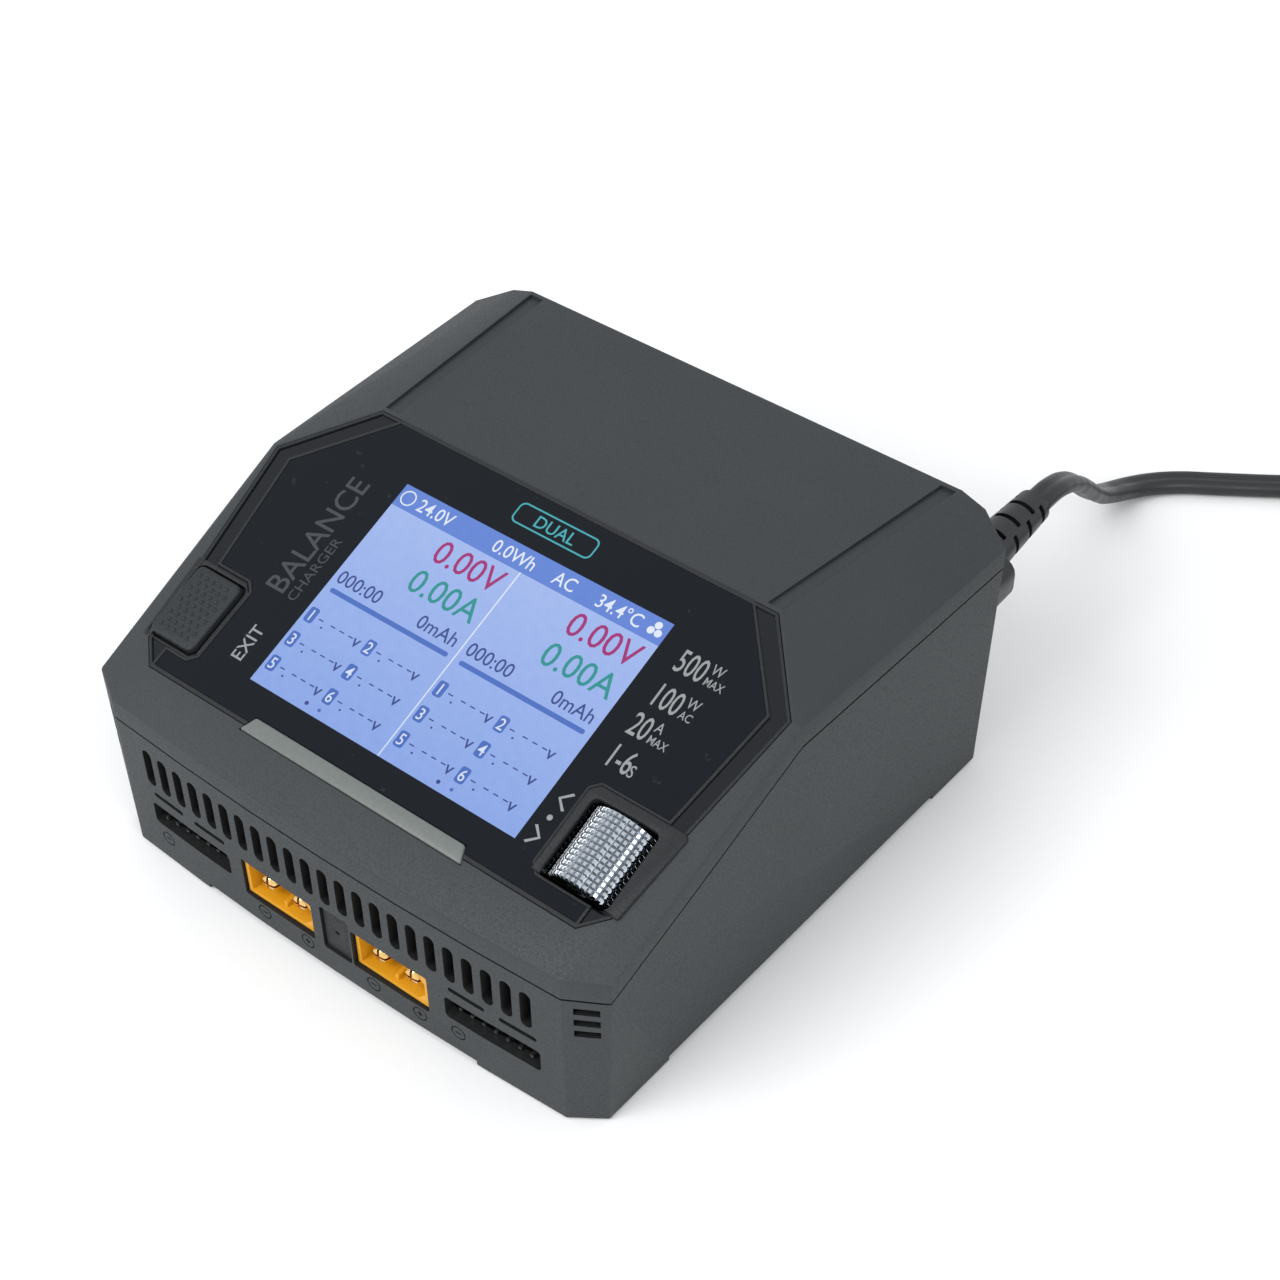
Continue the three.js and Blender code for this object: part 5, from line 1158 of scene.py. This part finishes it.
def cell_reading(number, x, up):
    """A battery cell's number in a filled box, then dashes, a point and the unit."""
    blue_ink.append(flat_shape(rounded_outline(*CELL_BOX, 0.5, x, up), TEXT_LEVEL - 0.02))
    style = {"align": "CENTER", "weight": 0.01, "squeeze": 0.9}
    white_ink.append(lettering(str(number), CELL_TEXT_SIZE, x, up, TEXT_LEVEL + 0.005, **style))
    navy_ink.append(lettering("v", 2.4, x + 9.6, up, TEXT_LEVEL, weight=0.01))
    for i in range(DASHES["count"]):
        dash_x = x + DASHES["start"] + DASHES["pitch"] * i + (DASHES["after_first"] if i else 0)
        dash = box_outline(dash_x, DASHES["length"], up - 0.1, DASHES["height"])
        navy_ink.append(flat_shape(dash, TEXT_LEVEL))
    navy_ink.append(dot(0.4, x + 3.1, up - 1.1, TEXT_LEVEL, 3))


white_ink, magenta_ink, teal_ink, navy_ink, blue_ink = [], [], [], [], []
header_up = SCREEN_HIGH - HEADER_HEIGHT / 2
for text, x in HEADER_TEXTS:
    letters = lettering(text, HEADER_TEXT_SIZE, x, header_up, TEXT_LEVEL, weight=0.01, squeeze=0.92)
    white_ink.append(letters)
on_sign = dot(ON_SIGN["outer"], ON_SIGN["x"], header_up, TEXT_LEVEL)
hole = disc_outline(ON_SIGN["inner"] / 2, ON_SIGN["x"], header_up)
combine(on_sign, prism("hole", hole, -1, 1, FROM_TOP), "DIFFERENCE")
white_ink.append(on_sign)
for petal in range(FAN_SIGN["petals"]):
    angle = math.radians(90 + 360 / FAN_SIGN["petals"] * petal)
    x = FAN_SIGN["x"] + FAN_SIGN["reach"] * math.cos(angle)
    up = header_up + FAN_SIGN["reach"] * math.sin(angle)
    white_ink.append(dot(FAN_SIGN["petal"], x, up, TEXT_LEVEL, 6))
for channel in (0, 1):
    left = (channel - 1) * SCREEN_HALF
    channel_readings(left, left + SCREEN_HALF / 2)
    for row, column in itertools.product(range(CELLS["rows"]), range(CELLS["columns"])):
        x = left + MARGIN + CELLS["column_pitch"] * column
        up = CELLS["first_up"] - CELLS["row_pitch"] * row
        cell_reading(CELLS["columns"] * row + column + 1, x, up)
    navy_ink.append(dot(0.75, left + 11.8, PAGE_DOTS_UP, TEXT_LEVEL, 4))
    blue_ink.append(dot(0.65, left + 14.6, PAGE_DOTS_UP, TEXT_LEVEL, 4))
divider = box_outline(-DIVIDER / 2, DIVIDER, SCREEN_LOW, header_low - SCREEN_LOW)
white_ink.append(flat_shape(divider, TEXT_LEVEL))
for name, ink, low_hex, high_hex in (
    ("screen_white", white_ink, "#CFDDF8", "#E4ECFC"),
    ("screen_magenta", magenta_ink, "#93126A", "#A31D72"),
    ("screen_teal", teal_ink, "#128788", "#1E9592"),
    ("screen_navy", navy_ink, "#24397E", "#31488E"),
    ("screen_blue", blue_ink, "#3C63B8", "#4A72C6"),
):
    screen_piece(name, ink, lit_screen(f"backlit_{name}", low_hex, high_hex))


# Printed marks
# Screen-printed under the glass: plain ratings, key names and arrows, in matt grey and teal ink.

MARK_LEVEL = -0.09


def print_ink(name, hex_colour):
    """Screen-printed ink: matt, with a slightly uneven coat."""
    material, tree, shader = new_material(name, hex_colour, 0.5)
    vary_roughness(tree, shader, mottle(tree, 1.11, 3.0), 0.4, 0.6)
    return material


def chevron(x, up, way):
    """A small arrow of two strokes that points left (-1) or right (1)."""
    tip = way * 0.9
    return [
        (x - tip, up + 1.75),
        (x + tip, up),
        (x - tip, up - 1.75),
        (x - tip - way * 0.45, up - 1.5),
        (x + tip - way * 0.55, up),
        (x - tip - way * 0.45, up + 1.5),
    ]


grey_marks = [
    lettering("EXIT", 2.4, -33.7, 9.0, MARK_LEVEL, turn_by=math.pi / 2, weight=0.02),
    lettering("500", 4.2, 32.9, 46.0, MARK_LEVEL, weight=0.03, squeeze=0.62),
    lettering("W", 1.9, 38.9, 47.2, MARK_LEVEL, weight=0.01, squeeze=0.8),
    lettering("MAX", 1.5, 38.9, 44.8, MARK_LEVEL, weight=0.01, squeeze=0.8),
    lettering("100", 4.2, 32.9, 39.2, MARK_LEVEL, weight=0.03, squeeze=0.62),
    lettering("W", 1.9, 38.9, 40.4, MARK_LEVEL, weight=0.01, squeeze=0.8),
    lettering("AC", 1.5, 38.9, 38.0, MARK_LEVEL, weight=0.01, squeeze=0.8),
    lettering("20", 4.2, 32.9, 33.2, MARK_LEVEL, weight=0.03, squeeze=0.62),
    lettering("A", 1.9, 37.0, 34.4, MARK_LEVEL, weight=0.01, squeeze=0.8),
    lettering("MAX", 1.5, 37.0, 32.0, MARK_LEVEL, weight=0.01, squeeze=0.8),
    lettering("1-6", 4.2, 32.9, 27.0, MARK_LEVEL, weight=0.03, squeeze=0.62),
    lettering("S", 2.2, 37.6, 26.0, MARK_LEVEL, weight=0.01, squeeze=0.8),
    flat_shape(chevron(31.5, 16.6, -1), MARK_LEVEL),
    flat_shape(rounded_outline(1.0, 1.0, 0.49, 31.5, 13.1, 5), MARK_LEVEL),
    flat_shape(chevron(31.5, 9.5, 1), MARK_LEVEL),
]
screen_piece("printed_grey_marks", grey_marks, print_ink("grey_print_ink", "#7F8384"))
dark_marks = [
    lettering("BALANCE", 4.2, -36.6, 22.5, MARK_LEVEL, turn_by=math.pi / 2, weight=0.03, squeeze=0.95),
    lettering("CHARGER", 1.9, -32.6, 22.5, MARK_LEVEL, turn_by=math.pi / 2, squeeze=1.1),
]
screen_piece("printed_dark_marks", dark_marks, print_ink("dark_print_ink", "#2C3134"))
badge = flat_shape(rounded_outline(17.0, 4.2, 1.2, 0.3, 55.6), MARK_LEVEL)
combine(badge, prism("hole", rounded_outline(16.4, 3.6, 0.95, 0.3, 55.6), -1, 1, FROM_TOP), "DIFFERENCE")
teal_marks = [badge, lettering("DUAL", 2.3, 0.3, 55.6, MARK_LEVEL, "CENTER", weight=0.02)]
screen_piece("printed_teal_marks", teal_marks, print_ink("teal_print_ink", "#2F8C93"))


# Light bar
# A frosted polycarbonate diffuser, snapped in along the lower edge of the display.


def frosted_plastic():
    """Frosted polycarbonate: cloudy grey with a soft sheen."""
    material, tree, shader = new_material("frosted_polycarbonate", "#696E6B", 0.38, ior=1.58)
    frost = mottle(tree, 0.833, 3.0)
    emboss(tree, shader, frost, 0.25, 0.03)
    tree.links.new(blend(tree, frost, "#5B605D", "#696E6B"), shader.inputs["Base Color"])
    return material


light_top = LIGHT_BAR["rise"]
light_foot = light_top - LIGHT_BAR["thickness"]
light_bar = prism("light_diffuser", light_bar_outline(0.15), light_foot, light_top, FROM_TOP)
bevel(light_bar, 0.4, 3, angle=30)
light_bar.data.materials.append(frosted_plastic())
stands_for(on_panel(shade(light_bar)), "charger", "diffuser", "light_bar")


# Exit key
# A moulded key in soft-touch black, with rows of small domes that a thumb finds, on a flange
# that keeps it under the bezel and a stem that reaches its switch.

KEY_RISE = 0.9
BUMPS = {"Columns": 5, "Rows": 9, "Pitch X": 1.55, "Pitch Y": 1.32, "Radius": 0.42}


def bump_tree(material):
    """Staggered rows of small domes."""
    kinds = {"Columns": "NodeSocketInt", "Rows": "NodeSocketInt"}
    kinds.update({label: "NodeSocketFloat" for label in ("Pitch X", "Pitch Y", "Radius")})
    tree, sizes, output = geometry_tree("key_bumps", kinds)
    spans = []
    for count, pitch in (("Columns", "Pitch X"), ("Rows", "Pitch Y")):
        gaps = add(tree, "ShaderNodeMath", {0: sizes[count], 1: 1.0}, operation="SUBTRACT")
        span = add(tree, "ShaderNodeMath", {0: gaps.outputs[0], 1: sizes[pitch]}, operation="MULTIPLY")
        spans.append(span.outputs[0])
    grid = add(
        tree,
        "GeometryNodeMeshGrid",
        {"Size X": spans[0], "Size Y": spans[1], "Vertices X": sizes["Columns"], "Vertices Y": sizes["Rows"]},
    )
    index = add(tree, "GeometryNodeInputIndex")
    row = add(tree, "ShaderNodeMath", {0: index.outputs[0], 1: sizes["Rows"]}, operation="MODULO")
    odd = add(tree, "ShaderNodeMath", {0: row.outputs[0], 1: 2.0}, operation="MODULO")
    way = add(tree, "ShaderNodeMath", {0: odd.outputs[0], 1: 0.5}, operation="SUBTRACT")
    step = add(tree, "ShaderNodeMath", {0: way.outputs[0], 1: sizes["Pitch X"]}, operation="MULTIPLY")
    half_step = add(tree, "ShaderNodeMath", {0: step.outputs[0], 1: 0.5}, operation="MULTIPLY")
    offset = add(tree, "ShaderNodeCombineXYZ", {"X": half_step.outputs[0]})
    moved = {"Geometry": grid.outputs[0], "Offset": offset.outputs[0]}
    staggered = add(tree, "GeometryNodeSetPosition", moved)
    dome = add(tree, "GeometryNodeMeshIcoSphere", {"Radius": sizes["Radius"], "Subdivisions": 2})
    copies = {"Points": staggered.outputs[0], "Instance": dome.outputs[0]}
    domes = add(tree, "GeometryNodeInstanceOnPoints", copies)
    solid = add(tree, "GeometryNodeRealizeInstances", {"Geometry": domes.outputs[0]})
    finish = add(tree, "GeometryNodeSetMaterial", {"Geometry": solid.outputs[0], "Material": material})
    tree.links.new(finish.outputs[0], output.inputs[0])
    return tree


key_rubber = spark_plastic("soft_touch_black", "#15191D", "#1A1F23")
key = prism("exit_key", rounded_outline(*KEY_SIZE, 1.3, KEY_X, KEY_UP), -2.8, KEY_RISE, FROM_TOP)
bevel(key, 0.45, 3, angle=30)
flange = rounded_outline(KEY_SIZE[0] + 1.4, KEY_SIZE[1] + 1.4, 1.2, KEY_X, KEY_UP)
combine(key, prism("flange", flange, -2.8, SEAT_FLOOR - 0.05, FROM_TOP), "UNION")
combine(key, rod("stem", 1.5, KEY_X, KEY_UP, (-12.9, -2.5)), "UNION")
bump_sizes = {label: value * MM if isinstance(value, float) else value for label, value in BUMPS.items()}
bumps = grown("bumps", bump_tree(key_rubber), bump_sizes)
combine(key, shifted(bumps, KEY_X, KEY_UP, KEY_RISE - 0.12), "UNION")
paint(key, key_rubber)
stands_for(on_panel(shade(key, 40)), "exit_key", "key_rubber", "exit_button")


# Scroll wheel
# A turned barrel, square-knurled and bright chromed, running on a steel axle in a sprung carriage.

WHEEL_AXIS = -3.9
KNURL = {"Around": 38, "Along": 13, "Radius": 5.85, "Length": 13.3, "Height": 0.62, "Crown": 0.56}


def knurl_tree(material):
    """A barrel whose side is drawn out into rows of small blunt pyramids."""
    kinds = {"Around": "NodeSocketInt", "Along": "NodeSocketInt"}
    kinds.update({label: "NodeSocketFloat" for label in ("Radius", "Length", "Height", "Crown")})
    tree, sizes, output = geometry_tree("square_knurl", kinds)
    barrel = add(
        tree,
        "GeometryNodeMeshCylinder",
        {
            "Vertices": sizes["Around"],
            "Side Segments": sizes["Along"],
            "Radius": sizes["Radius"],
            "Depth": sizes["Length"],
        },
    )
    raised = add(
        tree,
        "GeometryNodeExtrudeMesh",
        {
            "Mesh": barrel.outputs["Mesh"],
            "Selection": barrel.outputs["Side"],
            "Offset Scale": sizes["Height"],
            "Individual": True,
        },
        mode="FACES",
    )
    crowned = add(
        tree,
        "GeometryNodeScaleElements",
        {"Geometry": raised.outputs["Mesh"], "Selection": raised.outputs["Top"], "Scale": sizes["Crown"]},
        domain="FACE",
    )
    solid = add(tree, "GeometryNodeRealizeInstances", {"Geometry": crowned.outputs[0]})
    finish = add(tree, "GeometryNodeSetMaterial", {"Geometry": solid.outputs[0], "Material": material})
    tree.links.new(finish.outputs[0], output.inputs[0])
    return tree


wheel_chrome = plated_metal("bright_chrome_plate", "#C9CDD1", 0.1)
knurl_sizes = dict(KNURL)
for label in ("Radius", "Length", "Height"):
    knurl_sizes[label] = KNURL[label] * MM
barrel = grown("knurled_wheel", knurl_tree(wheel_chrome), knurl_sizes)
barrel.data.transform(Matrix.Rotation(math.pi / 2, 4, "X"))
shifted(barrel, WHEEL_X, WHEEL_UP, WHEEL_AXIS)
bore_tool = turned("bore", [(1.5, -9), (1.5, 9)], (WHEEL_X, WHEEL_UP, WHEEL_AXIS), FROM_FRONT)
combine(barrel, bore_tool, "DIFFERENCE")
stands_for(on_panel(barrel), "wheel", "wheel_chrome", "scroll_wheel")


# Balance sockets, their pins and the blanking plate
# Two seven-way sockets in black nylon with tinned square pins, and a snapped-in plate that closes
# the unused opening between the power sockets.


def refined(node, name, radius, material, angle=25):
    """A CAD piece with its flat faces made whole and its edges rounded."""
    body = bmesh.new()
    body.from_mesh(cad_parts[node].data)
    bmesh.ops.remove_doubles(body, verts=body.verts, dist=1e-6)
    bmesh.ops.dissolve_limit(body, angle_limit=math.radians(0.5), verts=body.verts, edges=body.edges)
    mesh = bpy.data.meshes.new(name)
    body.to_mesh(mesh)
    body.free()
    piece = new_object(name, mesh)
    bevel(piece, radius, 2, angle)
    paint(piece, material)
    return shade(piece, 35)


def finish_node(node, material):
    """Gives a CAD piece that keeps its shape its real finish."""
    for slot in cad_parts[node].material_slots:
        slot.material = material
    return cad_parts[node]


black_nylon = moulded_nylon("moulded_black_nylon", "#1B1C1E", "#151618", 0.45)
tin_plate = plated_metal("tin_plated_brass", "#C9CCCE", 0.28)
for side in ("left", "right"):
    finish_node(f"balance_socket_{side}", black_nylon)
    finish_node(f"balance_pins_{side}", tin_plate)
plate = refined("blanking_plate", "socket_blanking_plate", 0.15, frame_plastic)
stands_for(plate, "charger", "case_plastic", "blanking_plate")


# Wheel carriage, axle, encoder and key switches
# A sprung nylon carriage holds the wheel's steel axle; the switches under it and under the key sit
# on the control board.

ground_steel = plated_metal("ground_steel", "#A9ACAF", 0.3)
finish_node("wheel_axle", ground_steel)
for node in ("wheel_carriage", "encoder_body", "exit_switch", "select_switch"):
    finish_node(node, black_nylon)


# Boards and parts inside
# Green glass-epoxy boards with a folded aluminium heat sink, wound copper, sleeved capacitors and
# the display's pressed steel tray; they show only through the slots and the fan grille.

WEAVE = 2.4
WIRE_PITCH = 0.5
WAVE_TURN = 0.31  # the wave texture's scale that gives one band in one unit

def solder_mask():
    """Green solder resist over woven glass: semi-gloss, with a faint weave."""
    material, tree, shader = new_material("green_solder_resist", "#17422B", 0.32)
    where = add(tree, "ShaderNodeTexCoord")
    weave = add(
        tree,
        "ShaderNodeTexBrick",
        {
            "Vector": where.outputs["Object"],
            "Color1": linear("#17422B"),
            "Color2": linear("#1C4D33"),
            "Mortar": linear("#123824"),
            "Scale": 1 / (WEAVE * MM),
        },
    )
    tree.links.new(weave.outputs["Color"], shader.inputs["Base Color"])
    emboss(tree, shader, weave.outputs["Fac"], 0.1, 0.03)
    return material


def wound_wire():
    """Enamelled copper wire: bright turns side by side."""
    material, tree, shader = new_material("enamelled_copper_wire", "#A8572B", 0.3, metallic=1.0)
    where = add(tree, "ShaderNodeTexCoord")
    scale = WAVE_TURN / (WIRE_PITCH * MM)
    inputs = {"Vector": where.outputs["Object"], "Scale": scale}
    turns = add(tree, "ShaderNodeTexWave", inputs, bands_direction="Z")
    emboss(tree, shader, turns.outputs["Fac"], 0.6, 0.1)
    return material


def shrink_sleeve():
    """Printed PVC sleeve shrunk over a capacitor can."""
    material, tree, shader = new_material("shrunk_blue_PVC_sleeve", "#24365C", 0.3, ior=1.53)
    vary_roughness(tree, shader, mottle(tree, 4.17, 2.0), 0.22, 0.4)
    return material


board_green = solder_mask()
for node in ("main_board", "control_board", "power_supply_board"):
    finish_node(node, board_green)
finish_node("heatsink", plated_metal("extruded_aluminium", "#B9BDC0", 0.4))
finish_node("lcd_module", plated_metal("pressed_tinned_steel", "#9EA2A5", 0.35))
copper_wire = wound_wire()
for node in ("transformer", "inductor_left", "inductor_right"):
    finish_node(node, copper_wire)
blue_sleeve = shrink_sleeve()
for node in ("capacitor_front", "capacitor_rear"):
    finish_node(node, blue_sleeve)


# Fan
# A 40 mm axial fan in black nylon behind the rear grille, with seven blades on its hub.

BLADES = {"count": 7, "hub": 8.9, "reach": 17.2, "thickness": 0.9, "root_chord": 8.0, "tip_chord": 7.2}
FAN_BLADE_PITCH = (42.0, 30.0)
FAN_PLACE = (-18.0, 103.5, 27.6)
HUB_ENDS = (-3.85, 3.85)


def blade_solid(turn_by):
    """One blade: a thin strip that untwists from the hub to its tip."""
    corners = []
    for reach, chord, pitch in (
        (BLADES["hub"] - 1.5, BLADES["root_chord"], FAN_BLADE_PITCH[0]),
        (BLADES["reach"], BLADES["tip_chord"], FAN_BLADE_PITCH[1]),
    ):
        along = Vector((math.cos(math.radians(pitch)), math.sin(math.radians(pitch)), 0))
        across = Vector((-along.y, along.x, 0))
        for end in (-0.5, 0.5):
            for face in (-0.5, 0.5):
                point = along * chord * end + across * BLADES["thickness"] * face + Vector((0, 0, reach))
                corners.append(Matrix.Rotation(turn_by, 3, "Y") @ point + Vector(FAN_PLACE))
    return hull_solid("blade", corners)


hub_profile = [
    (6.0, HUB_ENDS[0]),
    (8.4, HUB_ENDS[0] + 0.1),
    (BLADES["hub"], HUB_ENDS[0] + 0.7),
    (BLADES["hub"], HUB_ENDS[1]),
]
rotor = turned("fan_impeller", hub_profile, FAN_PLACE, FROM_FRONT)
for i in range(BLADES["count"]):
    combine(rotor, blade_solid(2 * math.pi * i / BLADES["count"]), "UNION")
from_front(rotor)
paint(rotor, black_nylon)
stands_for(shade(rotor), "fan", "black_nylon", "fan_rotor")
fan_frame = refined("fan_frame", "fan_housing", 0.3, black_nylon, 40)
stands_for(fan_frame, "charger", "black_nylon", "fan_frame")


# Mains inlet and its connector
# A two-pin inlet in the rear wall; the lead's moulded connector stays pushed in, with finger ridges
# on its body and a slotted strain relief that lets the flat cord bend.

RELIEF_END = 144.1
RELIEF_PROFILE = (
    (4.2, 124.2),
    (4.9, 124.4),
    (4.9, 126.4),
    (4.3, 126.8),
    (4.3, 128.2),
    (3.4, RELIEF_END - 0.3),
    (3.1, RELIEF_END),
)
RELIEF_SLOTS = 6
RELIEF_SLOT_START = 128.6
RELIEF_SLOT_HALF = 2.6
RELIEF_SLOT_PITCH = 2.5
RELIEF_SLOT_WIDTH = 1.1
RELIEF_CORE = 1.9
RELIEF_REACH = 6.0
CONNECTOR_RIDGES = 5
CONNECTOR_RIDGE_START = 114.0
CONNECTOR_RIDGE = (0.8, 0.65)
CONNECTOR_RIDGE_FEET = (25.35, 34.7)
CONNECTOR_RIDGE_PITCH = 1.7

for side in ("left", "right"):
    finish_node(f"mains_inlet_pin_{side}", tin_plate)
inlet = refined("mains_inlet", "figure_eight_inlet", 0.2, black_nylon, 40)
stands_for(inlet, "charger", "black_nylon", "mains_inlet")

connector = refined("appliance_connector", "lead_connector", 0.35, vinyl, 40)
for i in range(CONNECTOR_RIDGES):
    start = CONNECTOR_RIDGE_START + CONNECTOR_RIDGE_PITCH * i
    for low in reversed(CONNECTOR_RIDGE_FEET):
        wide = (INLET_MIDDLE[0] - 5, INLET_MIDDLE[0] + 5)
        bar = block("ridge", wide, (start, start + CONNECTOR_RIDGE[0]), (low, low + CONNECTOR_RIDGE[1]))
        combine(connector, from_front(bar), "UNION")
paint(connector, vinyl)
stands_for(shade(connector), "charger", "black_nylon", "appliance_connector")

relief_axis = (INLET_MIDDLE[0], 0, INLET_MIDDLE[1])
relief_sleeve = turned("slotted_strain_relief", RELIEF_PROFILE, relief_axis, FROM_FRONT)
for i in range(RELIEF_SLOTS):
    start = RELIEF_SLOT_START + RELIEF_SLOT_PITCH * i
    reach = (start, start + RELIEF_SLOT_WIDTH)
    for side in (-1, 1):
        cut = sorted((side * RELIEF_CORE, side * RELIEF_REACH))
        across = (-RELIEF_SLOT_HALF, RELIEF_SLOT_HALF)
        wide, tall = (cut, across) if i % 2 else (across, cut)
        xs = [INLET_MIDDLE[0] + value for value in wide]
        zs = [INLET_MIDDLE[1] + value for value in tall]
        slot = block("slot", xs, reach, zs)
        combine(relief_sleeve, slot, "DIFFERENCE")
from_front(relief_sleeve)
paint(relief_sleeve, vinyl)
stands_for(shade(relief_sleeve), "charger", "cord_pvc", "connector_strain_relief")


# Mains plug and cable tie
# A moulded two-pin plug lies beside the wound lead, which a soft rubber band holds.

plug_body = refined("mains_plug", "moulded_mains_plug", 1.0, vinyl, 20)
stands_for(plug_body, "charger", "black_nylon", "mains_plug")
plug_pins = [finish_node(f"mains_plug_pin_{side}", tin_plate) for side in ("left", "right")]
tie_band = refined("cable_tie", "rubber_cable_tie", 0.25, key_rubber, 40)
stands_for(tie_band, "charger", "foot_rubber", "cable_tie")


# Case screws and foot pads
# Four zinc-plated cross-head screws come up through the underside, and four rubber pads are glued
# into round seats at the corners.

zinc_plate = plated_metal("zinc_plated_steel", "#B2B6B8", 0.32)
SCREW_PROFILE = ((2.2, 1.65), (2.65, 1.9), (2.65, 3.5), (1.4, 3.6), (1.4, 19.0), (0.9, 19.6))
PAD_PROFILE = ((3.9, 0.0), (4.4, 0.35), (4.5, 1.0))
names = ("front_left", "front_right", "rear_left", "rear_right")
foot_rubber = spark_plastic("moulded_foot_rubber", "#131415", "#191A1B")
for name, (x, y) in zip(names, POST_PLACES):
    screw = turned(f"cross_head_screw_{name}", SCREW_PROFILE, (x, y, 0), FROM_TOP, 24)
    for wide, long in ((0.7, 3.2), (3.2, 0.7)):
        recess = block("recess", (x - wide / 2, x + wide / 2), (y - long / 2, y + long / 2), (1, 2.7))
        combine(screw, recess, "DIFFERENCE")
    from_front(screw)
    paint(screw, zinc_plate)
    stands_for(shade(screw), "charger", "steel", f"case_screw_{name}")
for name, (x, y) in zip(names, PAD_PLACES):
    pad = from_front(turned(f"rubber_foot_{name}", PAD_PROFILE, (x, y, 0), FROM_TOP, 40))
    paint(pad, foot_rubber)
    stands_for(shade(pad), "charger", "foot_rubber", f"foot_pad_{name}")
